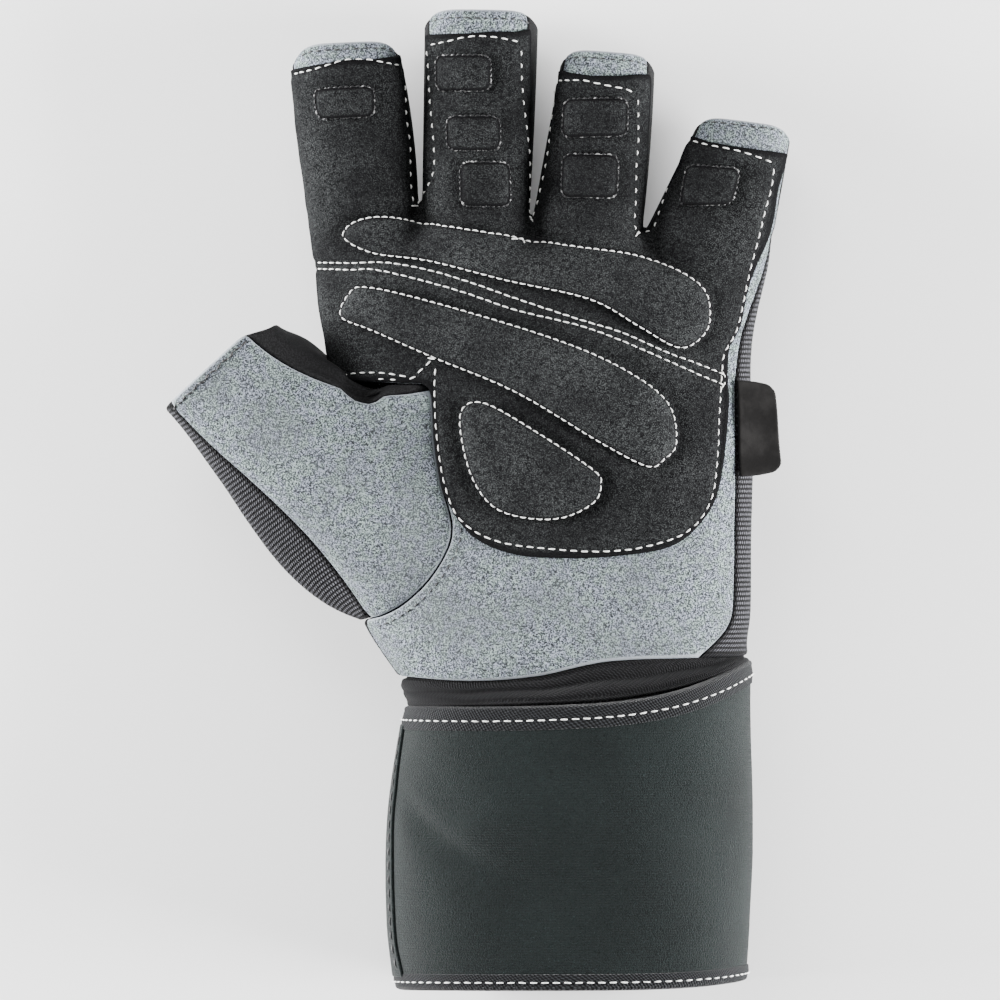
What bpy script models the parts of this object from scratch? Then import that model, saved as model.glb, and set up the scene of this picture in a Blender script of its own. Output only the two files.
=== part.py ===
"""A left-hand weightlifting glove with half fingers and a wrapped wrist.

The glove lies on its back with the palm up. +X points to the little finger, +Y to the fingertips and +Z out of the
palm. Y is zero at the wrist seam and Z at the surface that the glove lies on. Metres throughout.
"""

import math
from collections import namedtuple

import bmesh
import bpy
from mathutils import Vector
from mathutils.bvhtree import BVHTree

# Hand
HAND_WIDTH = 0.110
HAND_LENGTH = 0.1116
HAND_DEPTH = 0.042
OVAL_POWER = 2.3
FRONT_BLEND = 0.015
BACK_BLEND = 0.020
SIDE_SEAM = 26.0
WRIST_SEAM_TURN = 20.0
WRIST_SEAM_REACH = 0.080

# Cloth and leather
SUEDE_WALL = 0.0013
WOVEN_WALL = 0.0014
FOURCHETTE_WALL = 0.0011
THUMB_WALL = 0.0013
SEAM_GAP = 0.0004
HOLE_GAP = 0.0006
LAYER_GAP = 0.0003
OVERLAY_THICKNESS = 0.0010
PALM_PAD_RISE = 0.0026
PAD_SHOULDER = 0.007
FINGER_PAD_RISE = 0.0009

# Wrist wrap
WRAP_WIDTH = 0.0864
WRAP_DEPTH = 0.058
WRAP_LENGTH = 0.0684
WRAP_TOP = -0.0060
WRAP_FLAT = 0.0025
WRAP_WALL = 0.0020
WRAP_RISE = 0.0110
WRAP_TURN = 495.0
BINDING_THICKNESS = 0.0007
BINDING_HEIGHT = 0.0040
HOOK_PATCH_TURN = (15.0, 60.0)
HOOK_PATCH_MARGIN = 0.010

# Wrist band
BAND_WALL = 0.0012
BAND_TUCK = 0.005
BAND_STEP = 0.0018
BAND_LENGTH = 0.022
BAND_ROLL = 0.0016
BAND_CLEARANCE = 0.0017

# Pull tab
TAB_LENGTH = 0.0233
TAB_REACH = 0.0103
TAB_THICKNESS = 0.0016
TAB_CORNER = 0.0016
TAB_LEAN = 12.0
TAB_SEAT = 0.0006
TAB_X = 0.424
TAB_Y = 0.540

# Resolution of the nets
PALM_ROW_SHARES = (0.0, 0.05, 0.16, 0.32, 0.48, 0.63, 0.75, 0.84, 0.91, 0.96)
FINGER_ROWS = 6
FRONT_COLUMNS = 6
SIDE_COLUMNS = 3
THUMB_ROWS = 8
WRAP_ROWS = 5
BAND_COLUMNS = 24
TURN_STEP = 15.0

SUEDE_GREY = (0.165, 0.178, 0.200, 1.0)
SUEDE_BLACK = (0.012, 0.012, 0.014, 1.0)
WOVEN_BLACK = (0.018, 0.018, 0.020, 1.0)
WRAP_GREEN_GREY = (0.030, 0.038, 0.040, 1.0)
BINDING_GREY = (0.040, 0.041, 0.046, 1.0)
TAB_BROWN = (0.014, 0.011, 0.010, 1.0)

# Palm sections. y is a share of HAND_LENGTH, left and right of HAND_WIDTH, the heights of HAND_DEPTH.
Section = namedtuple("Section", "y left right side front back")
PALM = [
    Section(0.00, -0.310, 0.436, 0.69, 1.17, 0.20),
    Section(0.06, -0.356, 0.449, 0.66, 1.15, 0.15),
    Section(0.13, -0.400, 0.454, 0.62, 1.10, 0.10),
    Section(0.26, -0.410, 0.456, 0.58, 1.05, 0.05),
    Section(0.39, -0.418, 0.458, 0.54, 1.02, 0.02),
    Section(0.52, -0.437, 0.460, 0.50, 0.99, 0.00),
    Section(0.65, -0.461, 0.456, 0.46, 0.95, -0.02),
    Section(0.73, -0.474, 0.461, 0.44, 0.92, -0.03),
    Section(0.81, -0.489, 0.476, 0.42, 0.88, -0.03),
    Section(0.90, -0.498, 0.498, 0.41, 0.84, -0.02),
    Section(1.00, -0.508, 0.508, 0.40, 0.80, 0.02),
]

# The wrist seam climbs from the thumb side to the little finger side. across runs from 0 at the thumb side to 1.
WristSeam = namedtuple("WristSeam", "across y")
WRIST_SEAM = [
    WristSeam(0.0, 0.006),
    WristSeam(0.2, 0.000),
    WristSeam(0.4, 0.012),
    WristSeam(0.6, 0.044),
    WristSeam(0.8, 0.052),
    WristSeam(1.0, 0.054),
]

# Fingers. Across the hand in shares of HAND_WIDTH, along it of HAND_LENGTH, heights of HAND_DEPTH. The seam angles
# are where the front and back pieces end on the finger's oval, in degrees from the little finger side.
Finger = namedtuple(
    "Finger",
    "name root_left root_right tip_left tip_right bulge root_y_left root_y_right tip_y_left tip_y_right drop "
    "front_root front_tip back_root back_tip seam_front_left seam_front_right seam_back_right seam_back_left",
)
FINGERS = [
    Finger("index", -0.511, -0.272, -0.550, -0.310, 0.008, 1.022, 1.028, 1.366, 1.378, 0.030,
           0.78, 0.74, 0.05, 0.16, 172, 25, -25, -188),
    Finger("middle", -0.265, -0.029, -0.260, -0.009, 0.002, 1.028, 1.000, 1.444, 1.440, 0.022,
           0.82, 0.76, 0.04, 0.15, 155, 25, -25, -155),
    Finger("ring", -0.022, 0.219, 0.039, 0.246, 0.004, 1.000, 0.972, 1.360, 1.344, 0.020,
           0.79, 0.73, 0.05, 0.16, 155, 25, -25, -155),
    Finger("pinky", 0.226, 0.511, 0.336, 0.544, 0.000, 0.972, 0.974, 1.218, 1.190, 0.017,
           0.72, 0.66, 0.07, 0.18, 155, 28, 28, -155),
]
FINGER_SIDE_ROOT = 0.40
FINGER_SIDE_TIP = 0.44

# Thumb. Where its base meets the hand, with the place on the thumb's tip oval that each base point runs to, the
# heading and rise it sets off with in degrees, how far it goes before it turns and how long it runs straight to the
# tip, both as shares of HAND_LENGTH. Each strip of cloth lies between its row and the next.
ThumbLine = namedtuple("ThumbLine", "piece x y face tip_angle heading rise reach run")
THUMB = [
    ThumbLine("back", -0.400, 0.127, "side", 176, 161, 0, 0.23, 0.27),
    ThumbLine("panel", -0.378, 0.131, "front", 152, 121, 2, 0.30, 0.27),
    ThumbLine("panel", -0.345, 0.142, "front", 144, 130, 3, 0.31, 0.27),
    ThumbLine("panel", -0.300, 0.168, "front", 133, 137, 4, 0.32, 0.27),
    ThumbLine("panel", -0.247, 0.218, "front", 118, 144, 4, 0.34, 0.27),
    ThumbLine("panel", -0.205, 0.288, "front", 104, 146, 4, 0.36, 0.27),
    ThumbLine("panel", -0.200, 0.345, "front", 92, 149, 3, 0.36, 0.26),
    ThumbLine("panel", -0.222, 0.420, "front", 82, 159, 2, 0.33, 0.24),
    ThumbLine("panel", -0.238, 0.516, "front", 72, 174, 0, 0.29, 0.20),
    ThumbLine("gusset", -0.247, 0.618, "front", 57, 196, -4, 0.18, 0.12),
    ThumbLine("gusset", -0.310, 0.638, "front", 40, 200, -20, 0.13, 0.12),
    ThumbLine("gusset", -0.380, 0.641, "front", 22, 190, -12, 0.12, 0.11),
    ThumbLine("gusset", -0.437, 0.642, "side", 4, 172, 4, 0.11, 0.09),
    ThumbLine("gusset", -0.412, 0.634, "back", -24, 180, 4, 0.14, 0.16),
    ThumbLine("back", -0.385, 0.570, "back", -46, 164, 12, 0.20, 0.22),
    ThumbLine("back", -0.365, 0.470, "back", -70, 158, 12, 0.26, 0.26),
    ThumbLine("back", -0.338, 0.375, "back", -94, 152, 10, 0.30, 0.27),
    ThumbLine("back", -0.332, 0.270, "back", -118, 150, 8, 0.30, 0.27),
    ThumbLine("back", -0.345, 0.185, "back", -142, 154, 6, 0.27, 0.27),
    ThumbLine("back", -0.372, 0.137, "back", -166, 159, 2, 0.25, 0.27),
]
THUMB_TIP_X = -0.713
THUMB_TIP_Y = 0.686
THUMB_TIP_Z = 0.72
THUMB_TIP_WIDTH = 0.0335
THUMB_TIP_DEPTH = 0.0250
THUMB_HEADING = 132.5
THUMB_SETBACK = 0.0030

# Outlines on the palm, in shares of HAND_WIDTH across and HAND_LENGTH along.
Spot = namedtuple("Spot", "x y")
OVERLAY_OUTLINE = [
    Spot(-0.560, 0.660), Spot(-0.440, 0.655), Spot(-0.365, 0.647), Spot(-0.290, 0.650), Spot(-0.252, 0.640),
    Spot(-0.243, 0.587), Spot(-0.236, 0.505), Spot(-0.222, 0.420), Spot(-0.190, 0.352), Spot(-0.145, 0.303),
    Spot(-0.061, 0.270), Spot(0.063, 0.262), Spot(0.190, 0.270), Spot(0.284, 0.290), Spot(0.345, 0.340),
    Spot(0.378, 0.402), Spot(0.395, 0.505), Spot(0.402, 0.598), Spot(0.402, 0.700), Spot(0.430, 0.765),
    Spot(0.470, 0.882), Spot(0.500, 1.006), Spot(0.560, 1.145),
]
OVERLAY_TIPS = [
    Spot(0.560, 1.155), Spot(0.440, 1.148), Spot(0.330, 1.165), Spot(0.270, 1.200),
    Spot(0.255, 1.300), Spot(0.040, 1.302), Spot(0.012, 1.330),
    Spot(-0.012, 1.400), Spot(-0.257, 1.390), Spot(-0.285, 1.360),
    Spot(-0.300, 1.325), Spot(-0.430, 1.318), Spot(-0.560, 1.305),
]
UPPER_PAD = [
    Spot(-0.437, 0.950), Spot(-0.415, 0.985), Spot(-0.345, 0.998), Spot(-0.216, 0.978), Spot(0.048, 0.937),
    Spot(0.225, 0.910), Spot(0.345, 0.850), Spot(0.366, 0.775), Spot(0.340, 0.728), Spot(0.290, 0.712),
    Spot(0.205, 0.758), Spot(0.100, 0.815), Spot(-0.080, 0.855), Spot(-0.247, 0.897), Spot(-0.372, 0.915),
]
MIDDLE_PAD = [
    Spot(-0.443, 0.780), Spot(-0.425, 0.832), Spot(-0.385, 0.847), Spot(-0.247, 0.816), Spot(0.015, 0.738),
    Spot(0.172, 0.672), Spot(0.272, 0.598), Spot(0.292, 0.510), Spot(0.264, 0.472), Spot(0.227, 0.456),
    Spot(0.127, 0.505), Spot(-0.060, 0.615), Spot(-0.240, 0.690), Spot(-0.372, 0.748),
]
LOWER_PAD = [
    Spot(-0.183, 0.540), Spot(-0.172, 0.590), Spot(-0.124, 0.596), Spot(-0.030, 0.545), Spot(0.107, 0.456),
    Spot(0.128, 0.420), Spot(0.107, 0.376), Spot(0.022, 0.343), Spot(-0.094, 0.361), Spot(-0.155, 0.430),
]

# Raised finger pads: corners from the lower left, going round.
FingerPad = namedtuple("FingerPad", "name corners")
FINGER_PADS = [
    FingerPad("index_pad", [Spot(-0.491, 1.206), Spot(-0.368, 1.211), Spot(-0.370, 1.276), Spot(-0.500, 1.270)]),
    FingerPad("middle_pad_top", [Spot(-0.232, 1.266), Spot(-0.115, 1.266), Spot(-0.115, 1.342), Spot(-0.234, 1.342)]),
    FingerPad("middle_pad_mid", [Spot(-0.208, 1.138), Spot(-0.094, 1.138), Spot(-0.096, 1.211), Spot(-0.210, 1.211)]),
    FingerPad("middle_pad_low", [Spot(-0.178, 1.018), Spot(-0.072, 1.018), Spot(-0.074, 1.112), Spot(-0.180, 1.112)]),
    FingerPad("ring_pad_top", [Spot(0.042, 1.166), Spot(0.182, 1.170), Spot(0.184, 1.250), Spot(0.046, 1.248)]),
    FingerPad("ring_pad_low", [Spot(0.040, 1.038), Spot(0.160, 1.036), Spot(0.164, 1.128), Spot(0.044, 1.130)]),
    FingerPad("pinky_pad", [Spot(0.298, 1.020), Spot(0.412, 1.022), Spot(0.430, 1.100), Spot(0.314, 1.108)]),
]

# Wrap sections: share of WRAP_LENGTH down from the top, middle and half width as shares of WRAP_WIDTH.
WrapSection = namedtuple("WrapSection", "down middle half")
WRAP_SECTIONS = [
    WrapSection(0.00, 0.098, 0.482),
    WrapSection(0.38, 0.080, 0.508),
    WrapSection(0.75, 0.070, 0.510),
    WrapSection(1.00, 0.078, 0.488),
]


def lerp(start, end, share):
    """The value at a share of the way from start to end."""
    return start + (end - start) * share


def ease(share):
    """A share that leaves 0 and reaches 1 smoothly, held between them."""
    share = min(max(share, 0.0), 1.0)
    return share * share * (3.0 - 2.0 * share)


def power(value, exponent):
    """A power that keeps the sign of its value."""
    return math.copysign(abs(value) ** exponent, value)


def row_at(rows, value):
    """The row of a table at a value of its first column, worked out between the two rows around it."""
    low, high = rows[0], rows[-1]
    for first, second in zip(rows, rows[1:]):
        if first[0] <= value <= second[0]:
            low, high = first, second
            break
    share = (value - low[0]) / (high[0] - low[0])
    share = min(max(share, 0.0), 1.0)
    return type(low)(*[lerp(a, b, share) for a, b in zip(low, high)])


def smooth_loop(spots, steps):
    """A closed smooth line through the spots, with this many steps between each two."""
    count = len(spots)
    points = []
    for index in range(count):
        a, b, c, d = (Vector(spots[(index + shift) % count]) for shift in (-1, 0, 1, 2))
        for step in range(steps):
            t = step / steps
            points.append(0.5 * (2 * b + (c - a) * t + (2 * a - 5 * b + 4 * c - d) * t * t
                                 + (3 * b - a - 3 * c + d) * t ** 3))
    return points


def on_palm(spots):
    """Spots in metres."""
    return [Vector((spot[0] * HAND_WIDTH, spot[1] * HAND_LENGTH)) for spot in spots]


class Net:
    """A surface as points and quads, with its quads in named patches."""

    def __init__(self):
        self.points = []
        self.patches = {}

    def add(self, point):
        """Adds a point and returns its number."""
        self.points.append(Vector(point))
        return len(self.points) - 1

    def strip(self, patch, first, second):
        """Quads between two lines of points, facing out when the lines go round the hand and the second is nearer
        the fingertips."""
        quads = self.patches.setdefault(patch, [])
        for index in range(len(first) - 1):
            quads.append((first[index], first[index + 1], second[index + 1], second[index]))

    def normals(self):
        """The outward direction at each point, from all the quads around it."""
        sums = [Vector((0.0, 0.0, 0.0)) for _ in self.points]
        for quads in self.patches.values():
            for quad in quads:
                corners = [self.points[number] for number in quad]
                across = (corners[2] - corners[0]).cross(corners[3] - corners[1])
                if across.length > 0.0:
                    for number in quad:
                        sums[number] += across.normalized()
        return [total.normalized() for total in sums]

    def tree(self):
        """The surface as a tree that a ray can be cast at."""
        quads = [quad for group in self.patches.values() for quad in group]
        return BVHTree.FromPolygons(self.points, quads)


def link(name, mesh, colour, roughness, collection):
    """Makes an object of a mesh with its own material."""
    piece = bpy.data.objects.new(name, mesh)
    collection.objects.link(piece)
    material = bpy.data.materials.new(name)
    material.use_nodes = True
    shader = material.node_tree.nodes["Principled BSDF"]
    shader.inputs["Base Color"].default_value = colour
    shader.inputs["Roughness"].default_value = roughness
    shader.inputs["Metallic"].default_value = 0.0
    material.diffuse_color = colour
    mesh.materials.append(material)
    mesh.shade_smooth()
    mesh.set_sharp_from_angle(angle=math.radians(40))
    piece.parent = origin
    return piece


def shell(name, net, quads, top, bottom, look, rims=None):
    """A closed piece of cloth or leather between two offsets of a net's quads, with its edges drawn in by half a seam
    gap. top and bottom are distances along the normals, or functions of a point's number."""
    normals = net.normals()
    used = sorted({number for quad in quads for number in quad})
    edges = {}
    centres = {number: [] for number in used}
    for quad in quads:
        centre = sum((net.points[number] for number in quad), Vector()) / 4
        for start, end in zip(quad, quad[1:] + quad[:1]):
            edges[(start, end)] = quad
            centres[start].append(centre)
    rim = [edge for edge in edges if (edge[1], edge[0]) not in edges]
    on_rim = {number for edge in rim for number in edge}

    form = bmesh.new()
    upper = {}
    lower = {}
    for number in used:
        place = net.points[number].copy()
        if number in on_rim:
            inward = sum(centres[number], Vector()) / len(centres[number]) - place
            place += inward.normalized() * SEAM_GAP / 2
        direction = normals[number]
        if rims and number in rims:
            direction = rims[number]
        high = top(number) if callable(top) else top
        low = bottom(number) if callable(bottom) else bottom
        upper[number] = form.verts.new(place + direction * high)
        lower[number] = form.verts.new(place + direction * low)
    for a, b, c, d in quads:
        for triangle in ((a, b, c), (a, c, d)):
            form.faces.new([upper[number] for number in triangle])
            form.faces.new([lower[number] for number in reversed(triangle)])
    for start, end in rim:
        form.faces.new((upper[end], upper[start], lower[start], lower[end]))
    bmesh.ops.recalc_face_normals(form, faces=form.faces)
    mesh = bpy.data.meshes.new(name)
    form.to_mesh(mesh)
    form.free()
    return link(name, mesh, *look)


def prism(name, outline, low, high):
    """An upright cutter over a flat outline."""
    form = bmesh.new()
    face = form.faces.new([form.verts.new((point.x, point.y, low)) for point in outline])
    grown = bmesh.ops.extrude_face_region(form, geom=[face])
    raised = [item for item in grown["geom"] if isinstance(item, bmesh.types.BMVert)]
    bmesh.ops.translate(form, verts=raised, vec=(0.0, 0.0, high - low))
    bmesh.ops.recalc_face_normals(form, faces=form.faces)
    mesh = bpy.data.meshes.new(name)
    form.to_mesh(mesh)
    form.free()
    cutter = bpy.data.objects.new(name, mesh)
    cutters.objects.link(cutter)
    cutter.hide_render = True
    cutter.display_type = "WIRE"
    cutter.parent = origin
    return cutter


def cut(piece, cutter, operation, solver="EXACT"):
    """Cuts a piece with a cutter, or keeps only what is inside it."""
    modifier = piece.modifiers.new(cutter.name, "BOOLEAN")
    modifier.operation = operation
    modifier.object = cutter
    modifier.solver = solver


def oval(section, angle):
    """A point (x, z) of a section: an oval, flat where it would pass below the surface that the glove lies on."""
    across = power(math.cos(angle), 2 / OVAL_POWER)
    rise = power(math.sin(angle), 2 / OVAL_POWER)
    height = section.front - section.side if rise > 0 else section.side - section.back
    return lerp(section.left, section.right, (1 + across) / 2), max(section.side + height * rise, 0.0)


def palm_section(y):
    """The palm's section at a distance along the hand, in metres."""
    row = row_at(PALM, y / HAND_LENGTH)
    return Section(y, row.left * HAND_WIDTH, row.right * HAND_WIDTH, row.side * HAND_DEPTH,
                   row.front * HAND_DEPTH, row.back * HAND_DEPTH)


def spread(section, start, end, count):
    """Points (x, z) spread evenly along a section from one angle in degrees to another."""
    fine = 90
    line = [Vector(oval(section, math.radians(lerp(start, end, step / fine)))) for step in range(fine + 1)]
    lengths = [0.0]
    for before, after in zip(line, line[1:]):
        lengths.append(lengths[-1] + (after - before).length)
    points = []
    place = 0
    for index in range(count + 1):
        wanted = lengths[-1] * index / count
        while place < fine - 1 and lengths[place + 1] < wanted:
            place += 1
        share = (wanted - lengths[place]) / (lengths[place + 1] - lengths[place])
        points.append(line[place].lerp(line[place + 1], share))
    return points


def finger_point(finger, along, degrees):
    """A point on a finger, from 0 at its root to 1 at its tip, at an angle on its oval."""
    side = lerp(FINGER_SIDE_ROOT, FINGER_SIDE_TIP, along)
    bulge = finger.bulge * 4 * along * (1 - along)
    section = Section(
        0.0,
        lerp(finger.root_left, finger.tip_left, along) * HAND_WIDTH,
        (lerp(finger.root_right, finger.tip_right, along) + bulge) * HAND_WIDTH,
        side * HAND_DEPTH,
        lerp(finger.front_root, finger.front_tip, along) * HAND_DEPTH,
        lerp(finger.back_root, finger.back_tip, along) * HAND_DEPTH,
    )
    x, z = oval(section, math.radians(degrees))
    across = (x - section.left) / (section.right - section.left)
    root = lerp(finger.root_y_left, finger.root_y_right, across)
    tip = lerp(finger.tip_y_left, finger.tip_y_right, across) - finger.drop * abs(2 * across - 1) ** 4
    return Vector((x, lerp(root, tip, along) * HAND_LENGTH, z))


def steps_between(start, end, count):
    """Evenly spaced angles from start to end."""
    return [lerp(start, end, index / count) for index in range(count + 1)]


def wrist_y(across):
    """Where the wrist seam lies, across the hand from 0 to 1."""
    return row_at(WRIST_SEAM, across).y * HAND_LENGTH


def side_seam(y):
    """The angle of the little finger side seam on the palm's oval, in degrees, which turns in at the wrist."""
    share = (y - WRIST_SEAM[-1].y * HAND_LENGTH) / (WRIST_SEAM_REACH * HAND_LENGTH)
    return SIDE_SEAM + WRIST_SEAM_TURN * (1 - min(max(share, 0.0), 1.0)) ** 2


def palm_lines(net, roots, angles, blend):
    """Lines of points along the palm, each from the wrist seam to its root point. angles gives the first and last
    angle on the palm's oval at a distance along the hand."""
    lines = []
    left = FINGERS[0].root_left * HAND_WIDTH
    right = FINGERS[-1].root_right * HAND_WIDTH
    last = len(roots) - 1
    for column, root in enumerate(roots):
        across = (root.x - left) / (right - left)
        wrist = palm_section(0.0)
        low = spread(wrist, *angles(0.0), last)[column]
        bottom = wrist_y((low.x - wrist.left) / (wrist.right - wrist.left))
        line = []
        for up in PALM_ROW_SHARES:
            y = lerp(bottom, root.y, up)
            section = palm_section(y)
            start, end = angles(y)
            wide = spread(section, start, end, last)[column]
            fingered = Vector((lerp(section.left, section.right, across), root.z))
            place = wide.lerp(fingered, ease(1 - (root.y - y) / blend))
            line.append(net.add((place.x, y, place.y)))
        lines.append(line)
    return lines


def hand_net():
    """The hand and fingers as one net. Its patches are front, back and the three fourchettes."""
    net = Net()
    side = SIDE_COLUMNS
    fronts = []
    backs = []
    for finger in FINGERS:
        wraps = finger.name in ("index", "pinky")
        fronts.append(steps_between(finger.seam_front_left, finger.seam_front_right, FRONT_COLUMNS))
        backs.append(steps_between(finger.seam_back_right, finger.seam_back_left, FRONT_COLUMNS + 2 * wraps))
    front_roots = [finger_point(finger, 0, angle) for finger, row in zip(FINGERS, fronts) for angle in row]
    backwards = list(zip(FINGERS, backs))[::-1]
    back_roots = [finger_point(finger, 0, angle) for finger, row in backwards for angle in row]
    start = FINGERS[0].seam_front_left
    end = FINGERS[0].seam_back_left
    front = palm_lines(net, front_roots, lambda y: (start, side_seam(y)), FRONT_BLEND)
    back = palm_lines(net, back_roots, lambda y: (side_seam(y), end), BACK_BLEND)
    back[0] = front[-1]
    back[-1] = front[0]

    rings = []
    for finger, front_angles, back_angles in zip(FINGERS, fronts, backs):
        right = steps_between(finger.seam_front_right, finger.seam_back_right, side)[1:-1]
        left = steps_between(finger.seam_back_left, finger.seam_front_left - 360, side)[1:-1]
        if finger.name == "pinky":
            right = []
            back_angles = back_angles[1:]
        if finger.name == "index":
            left = []
            back_angles = back_angles[:-1]
        angles = front_angles + right + back_angles + left
        rows = []
        for step in range(FINGER_ROWS + 1):
            rows.append([net.add(finger_point(finger, step / FINGER_ROWS, angle)) for angle in angles])
        rings.append((rows, len(front_angles), len(right), len(back_angles), len(left)))

    for index, (rows, front_count, _, _, _) in enumerate(rings):
        start = index * (FRONT_COLUMNS + 1)
        for column in range(front_count):
            front[start + column].append(rows[0][column])
    column = 0
    for rows, front_count, right_count, back_count, left_count in rings[::-1]:
        ring = rows[0] + [rows[0][0]]
        first = front_count + right_count - (1 if right_count == 0 else 0)
        last = front_count + right_count + back_count - (0 if left_count == 0 else 1)
        for number in ring[first:last + 1]:
            if len(back[column]) == len(PALM_ROW_SHARES):
                back[column].append(number)
            column += 1

    for patch, lines in (("front", front), ("back", back)):
        for row in range(len(PALM_ROW_SHARES)):
            net.strip(patch, [line[row] for line in lines], [line[row + 1] for line in lines])
    gussets = []
    for index, (rows, front_count, right_count, back_count, left_count) in enumerate(rings):
        turn = front_count + right_count
        finish = turn + back_count
        for lower, upper in zip(rows, rows[1:]):
            low = lower + [lower[0]]
            high = upper + [upper[0]]
            net.strip("front", low[:front_count], high[:front_count])
            if right_count:
                net.strip("fourchette_%d" % index, low[front_count - 1:turn + 1], high[front_count - 1:turn + 1])
                net.strip("back", low[turn:finish], high[turn:finish])
            else:
                net.strip("back", low[front_count - 1:finish], high[front_count - 1:finish])
            if left_count:
                net.strip("fourchette_%d" % (index - 1), low[finish - 1:], high[finish - 1:])
            else:
                net.strip("back", low[finish - 1:], high[finish - 1:])
        ring = rows[0] + [rows[0][0]]
        gussets.append((ring[front_count - 1:turn + 1], ring[finish - 1:]))
    for index in range(len(FINGERS) - 1):
        near = gussets[index][0]
        far = gussets[index + 1][1][::-1]
        net.strip("fourchette_%d" % index, near[::-1], far[::-1])
    return net


def grown(outline, distance):
    """An outline moved outwards, for a loop that runs clockwise or anticlockwise."""
    area = sum(a.x * b.y - b.x * a.y for a, b in zip(outline, outline[1:] + outline[:1]))
    turn = 1.0 if area > 0 else -1.0
    moved = []
    count = len(outline)
    for index, point in enumerate(outline):
        ahead = (outline[(index + 1) % count] - outline[index - 1]).normalized()
        moved.append(point + Vector((ahead.y, -ahead.x)) * turn * distance)
    return moved


def thumb_base(hand):
    """The thumb's base lines: for each line its start on the hand, and the direction of its wall there."""
    tree = hand.tree()
    starts = []
    walls = []
    for index, line in enumerate(THUMB):
        x, y = line.x * HAND_WIDTH, line.y * HAND_LENGTH
        if line.face == "front":
            place = tree.ray_cast(Vector((x, y, 1.0)), Vector((0, 0, -1)))[0]
            wall = Vector((0, 0, 1))
        elif line.face == "back":
            place = tree.ray_cast(Vector((x, y, -1.0)), Vector((0, 0, 1)))[0]
            wall = Vector((0, 0, -1))
        else:
            place = tree.ray_cast(Vector((-1.0, y, palm_section(y).side)), Vector((1, 0, 0)))[0]
            before, after = on_palm([THUMB[index - 1][1:3], THUMB[index + 1][1:3]])
            wall = (place.to_2d() - (before + after) / 2).normalized().to_3d()
        starts.append(place)
        walls.append(wall)
    return starts, walls


def thumb_net(starts):
    """The thumb as a net, from its base on the hand to its open end."""
    net = Net()
    centre = Vector((THUMB_TIP_X * HAND_WIDTH, THUMB_TIP_Y * HAND_LENGTH, THUMB_TIP_Z * HAND_DEPTH))
    heading = math.radians(THUMB_HEADING)
    ahead = Vector((math.cos(heading), math.sin(heading), 0.0))
    across = Vector((ahead.y, -ahead.x, 0.0))
    lines = []
    for line, start in zip(THUMB, starts):
        angle = math.radians(line.tip_angle)
        wide = power(math.cos(angle), 2 / OVAL_POWER)
        tall = power(math.sin(angle), 2 / OVAL_POWER)
        end = centre + across * wide * THUMB_TIP_WIDTH / 2
        end.z += tall * THUMB_TIP_DEPTH / 2
        end -= ahead * THUMB_SETBACK * ease(wide)
        turn, rise = math.radians(line.heading), math.radians(line.rise)
        away = Vector((math.cos(turn) * math.cos(rise), math.sin(turn) * math.cos(rise), math.sin(rise)))
        first = start + away * line.reach * HAND_LENGTH
        second = end - ahead * line.run * HAND_LENGTH
        points = []
        for row in range(THUMB_ROWS + 1):
            t = row / THUMB_ROWS
            u = 1 - t
            points.append(net.add(start * u ** 3 + first * 3 * u * u * t + second * 3 * u * t * t + end * t ** 3))
        lines.append(points)
    count = len(lines)
    for index, line in enumerate(THUMB):
        after = lines[(index + 1) % count]
        for row in range(THUMB_ROWS):
            net.strip(line.piece, [lines[index][row], after[row]], [lines[index][row + 1], after[row + 1]])
    return net, lines


def distance_inside(point, outline):
    """How far a point lies inside an outline, negative outside it."""
    best = None
    inside = False
    for a, b in zip(outline, outline[1:] + outline[:1]):
        edge = b - a
        share = min(max((point - a).dot(edge) / edge.length_squared, 0.0), 1.0)
        away = (point - (a + edge * share)).length
        best = away if best is None else min(best, away)
        if (a.y > point.y) != (b.y > point.y):
            if point.x < a.x + (point.y - a.y) / (b.y - a.y) * edge.x:
                inside = not inside
    return best if inside else -best


def wrap_top(angle):
    """The height of the wrap's top edge, which climbs on the little finger side."""
    return WRAP_TOP + WRAP_RISE * ((1 + math.cos(angle)) / 2) ** 4


def wrist_point(angle, y, depth):
    """A point of the wrap at an angle, a distance along the hand and a depth below its outer face."""
    row = row_at(WRAP_SECTIONS, (WRAP_TOP - y) / WRAP_LENGTH)
    half_height = (WRAP_DEPTH + WRAP_FLAT) / 2
    across = power(math.cos(angle), 2 / OVAL_POWER)
    rise = power(math.sin(angle), 2 / OVAL_POWER)
    x = row.middle * WRAP_WIDTH + (row.half * WRAP_WIDTH - depth) * across
    z = WRAP_DEPTH - half_height + (half_height - depth) * rise
    return Vector((x, y, max(z, depth)))


def layer_step():
    """How far the inner turn of the wrap lies below the outer one."""
    return WRAP_WALL + 2 * (BINDING_THICKNESS + LAYER_GAP) + LAYER_GAP


def turn_depth(turn):
    """How deep the wrap's outer face lies after a turn in degrees from its outer end."""
    return layer_step() * ease((turn - 300) / 52)


def wrap_angle(turn):
    """The angle round the wrist of a turn in degrees from the wrap's outer end."""
    return math.radians(180 - turn)


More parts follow.
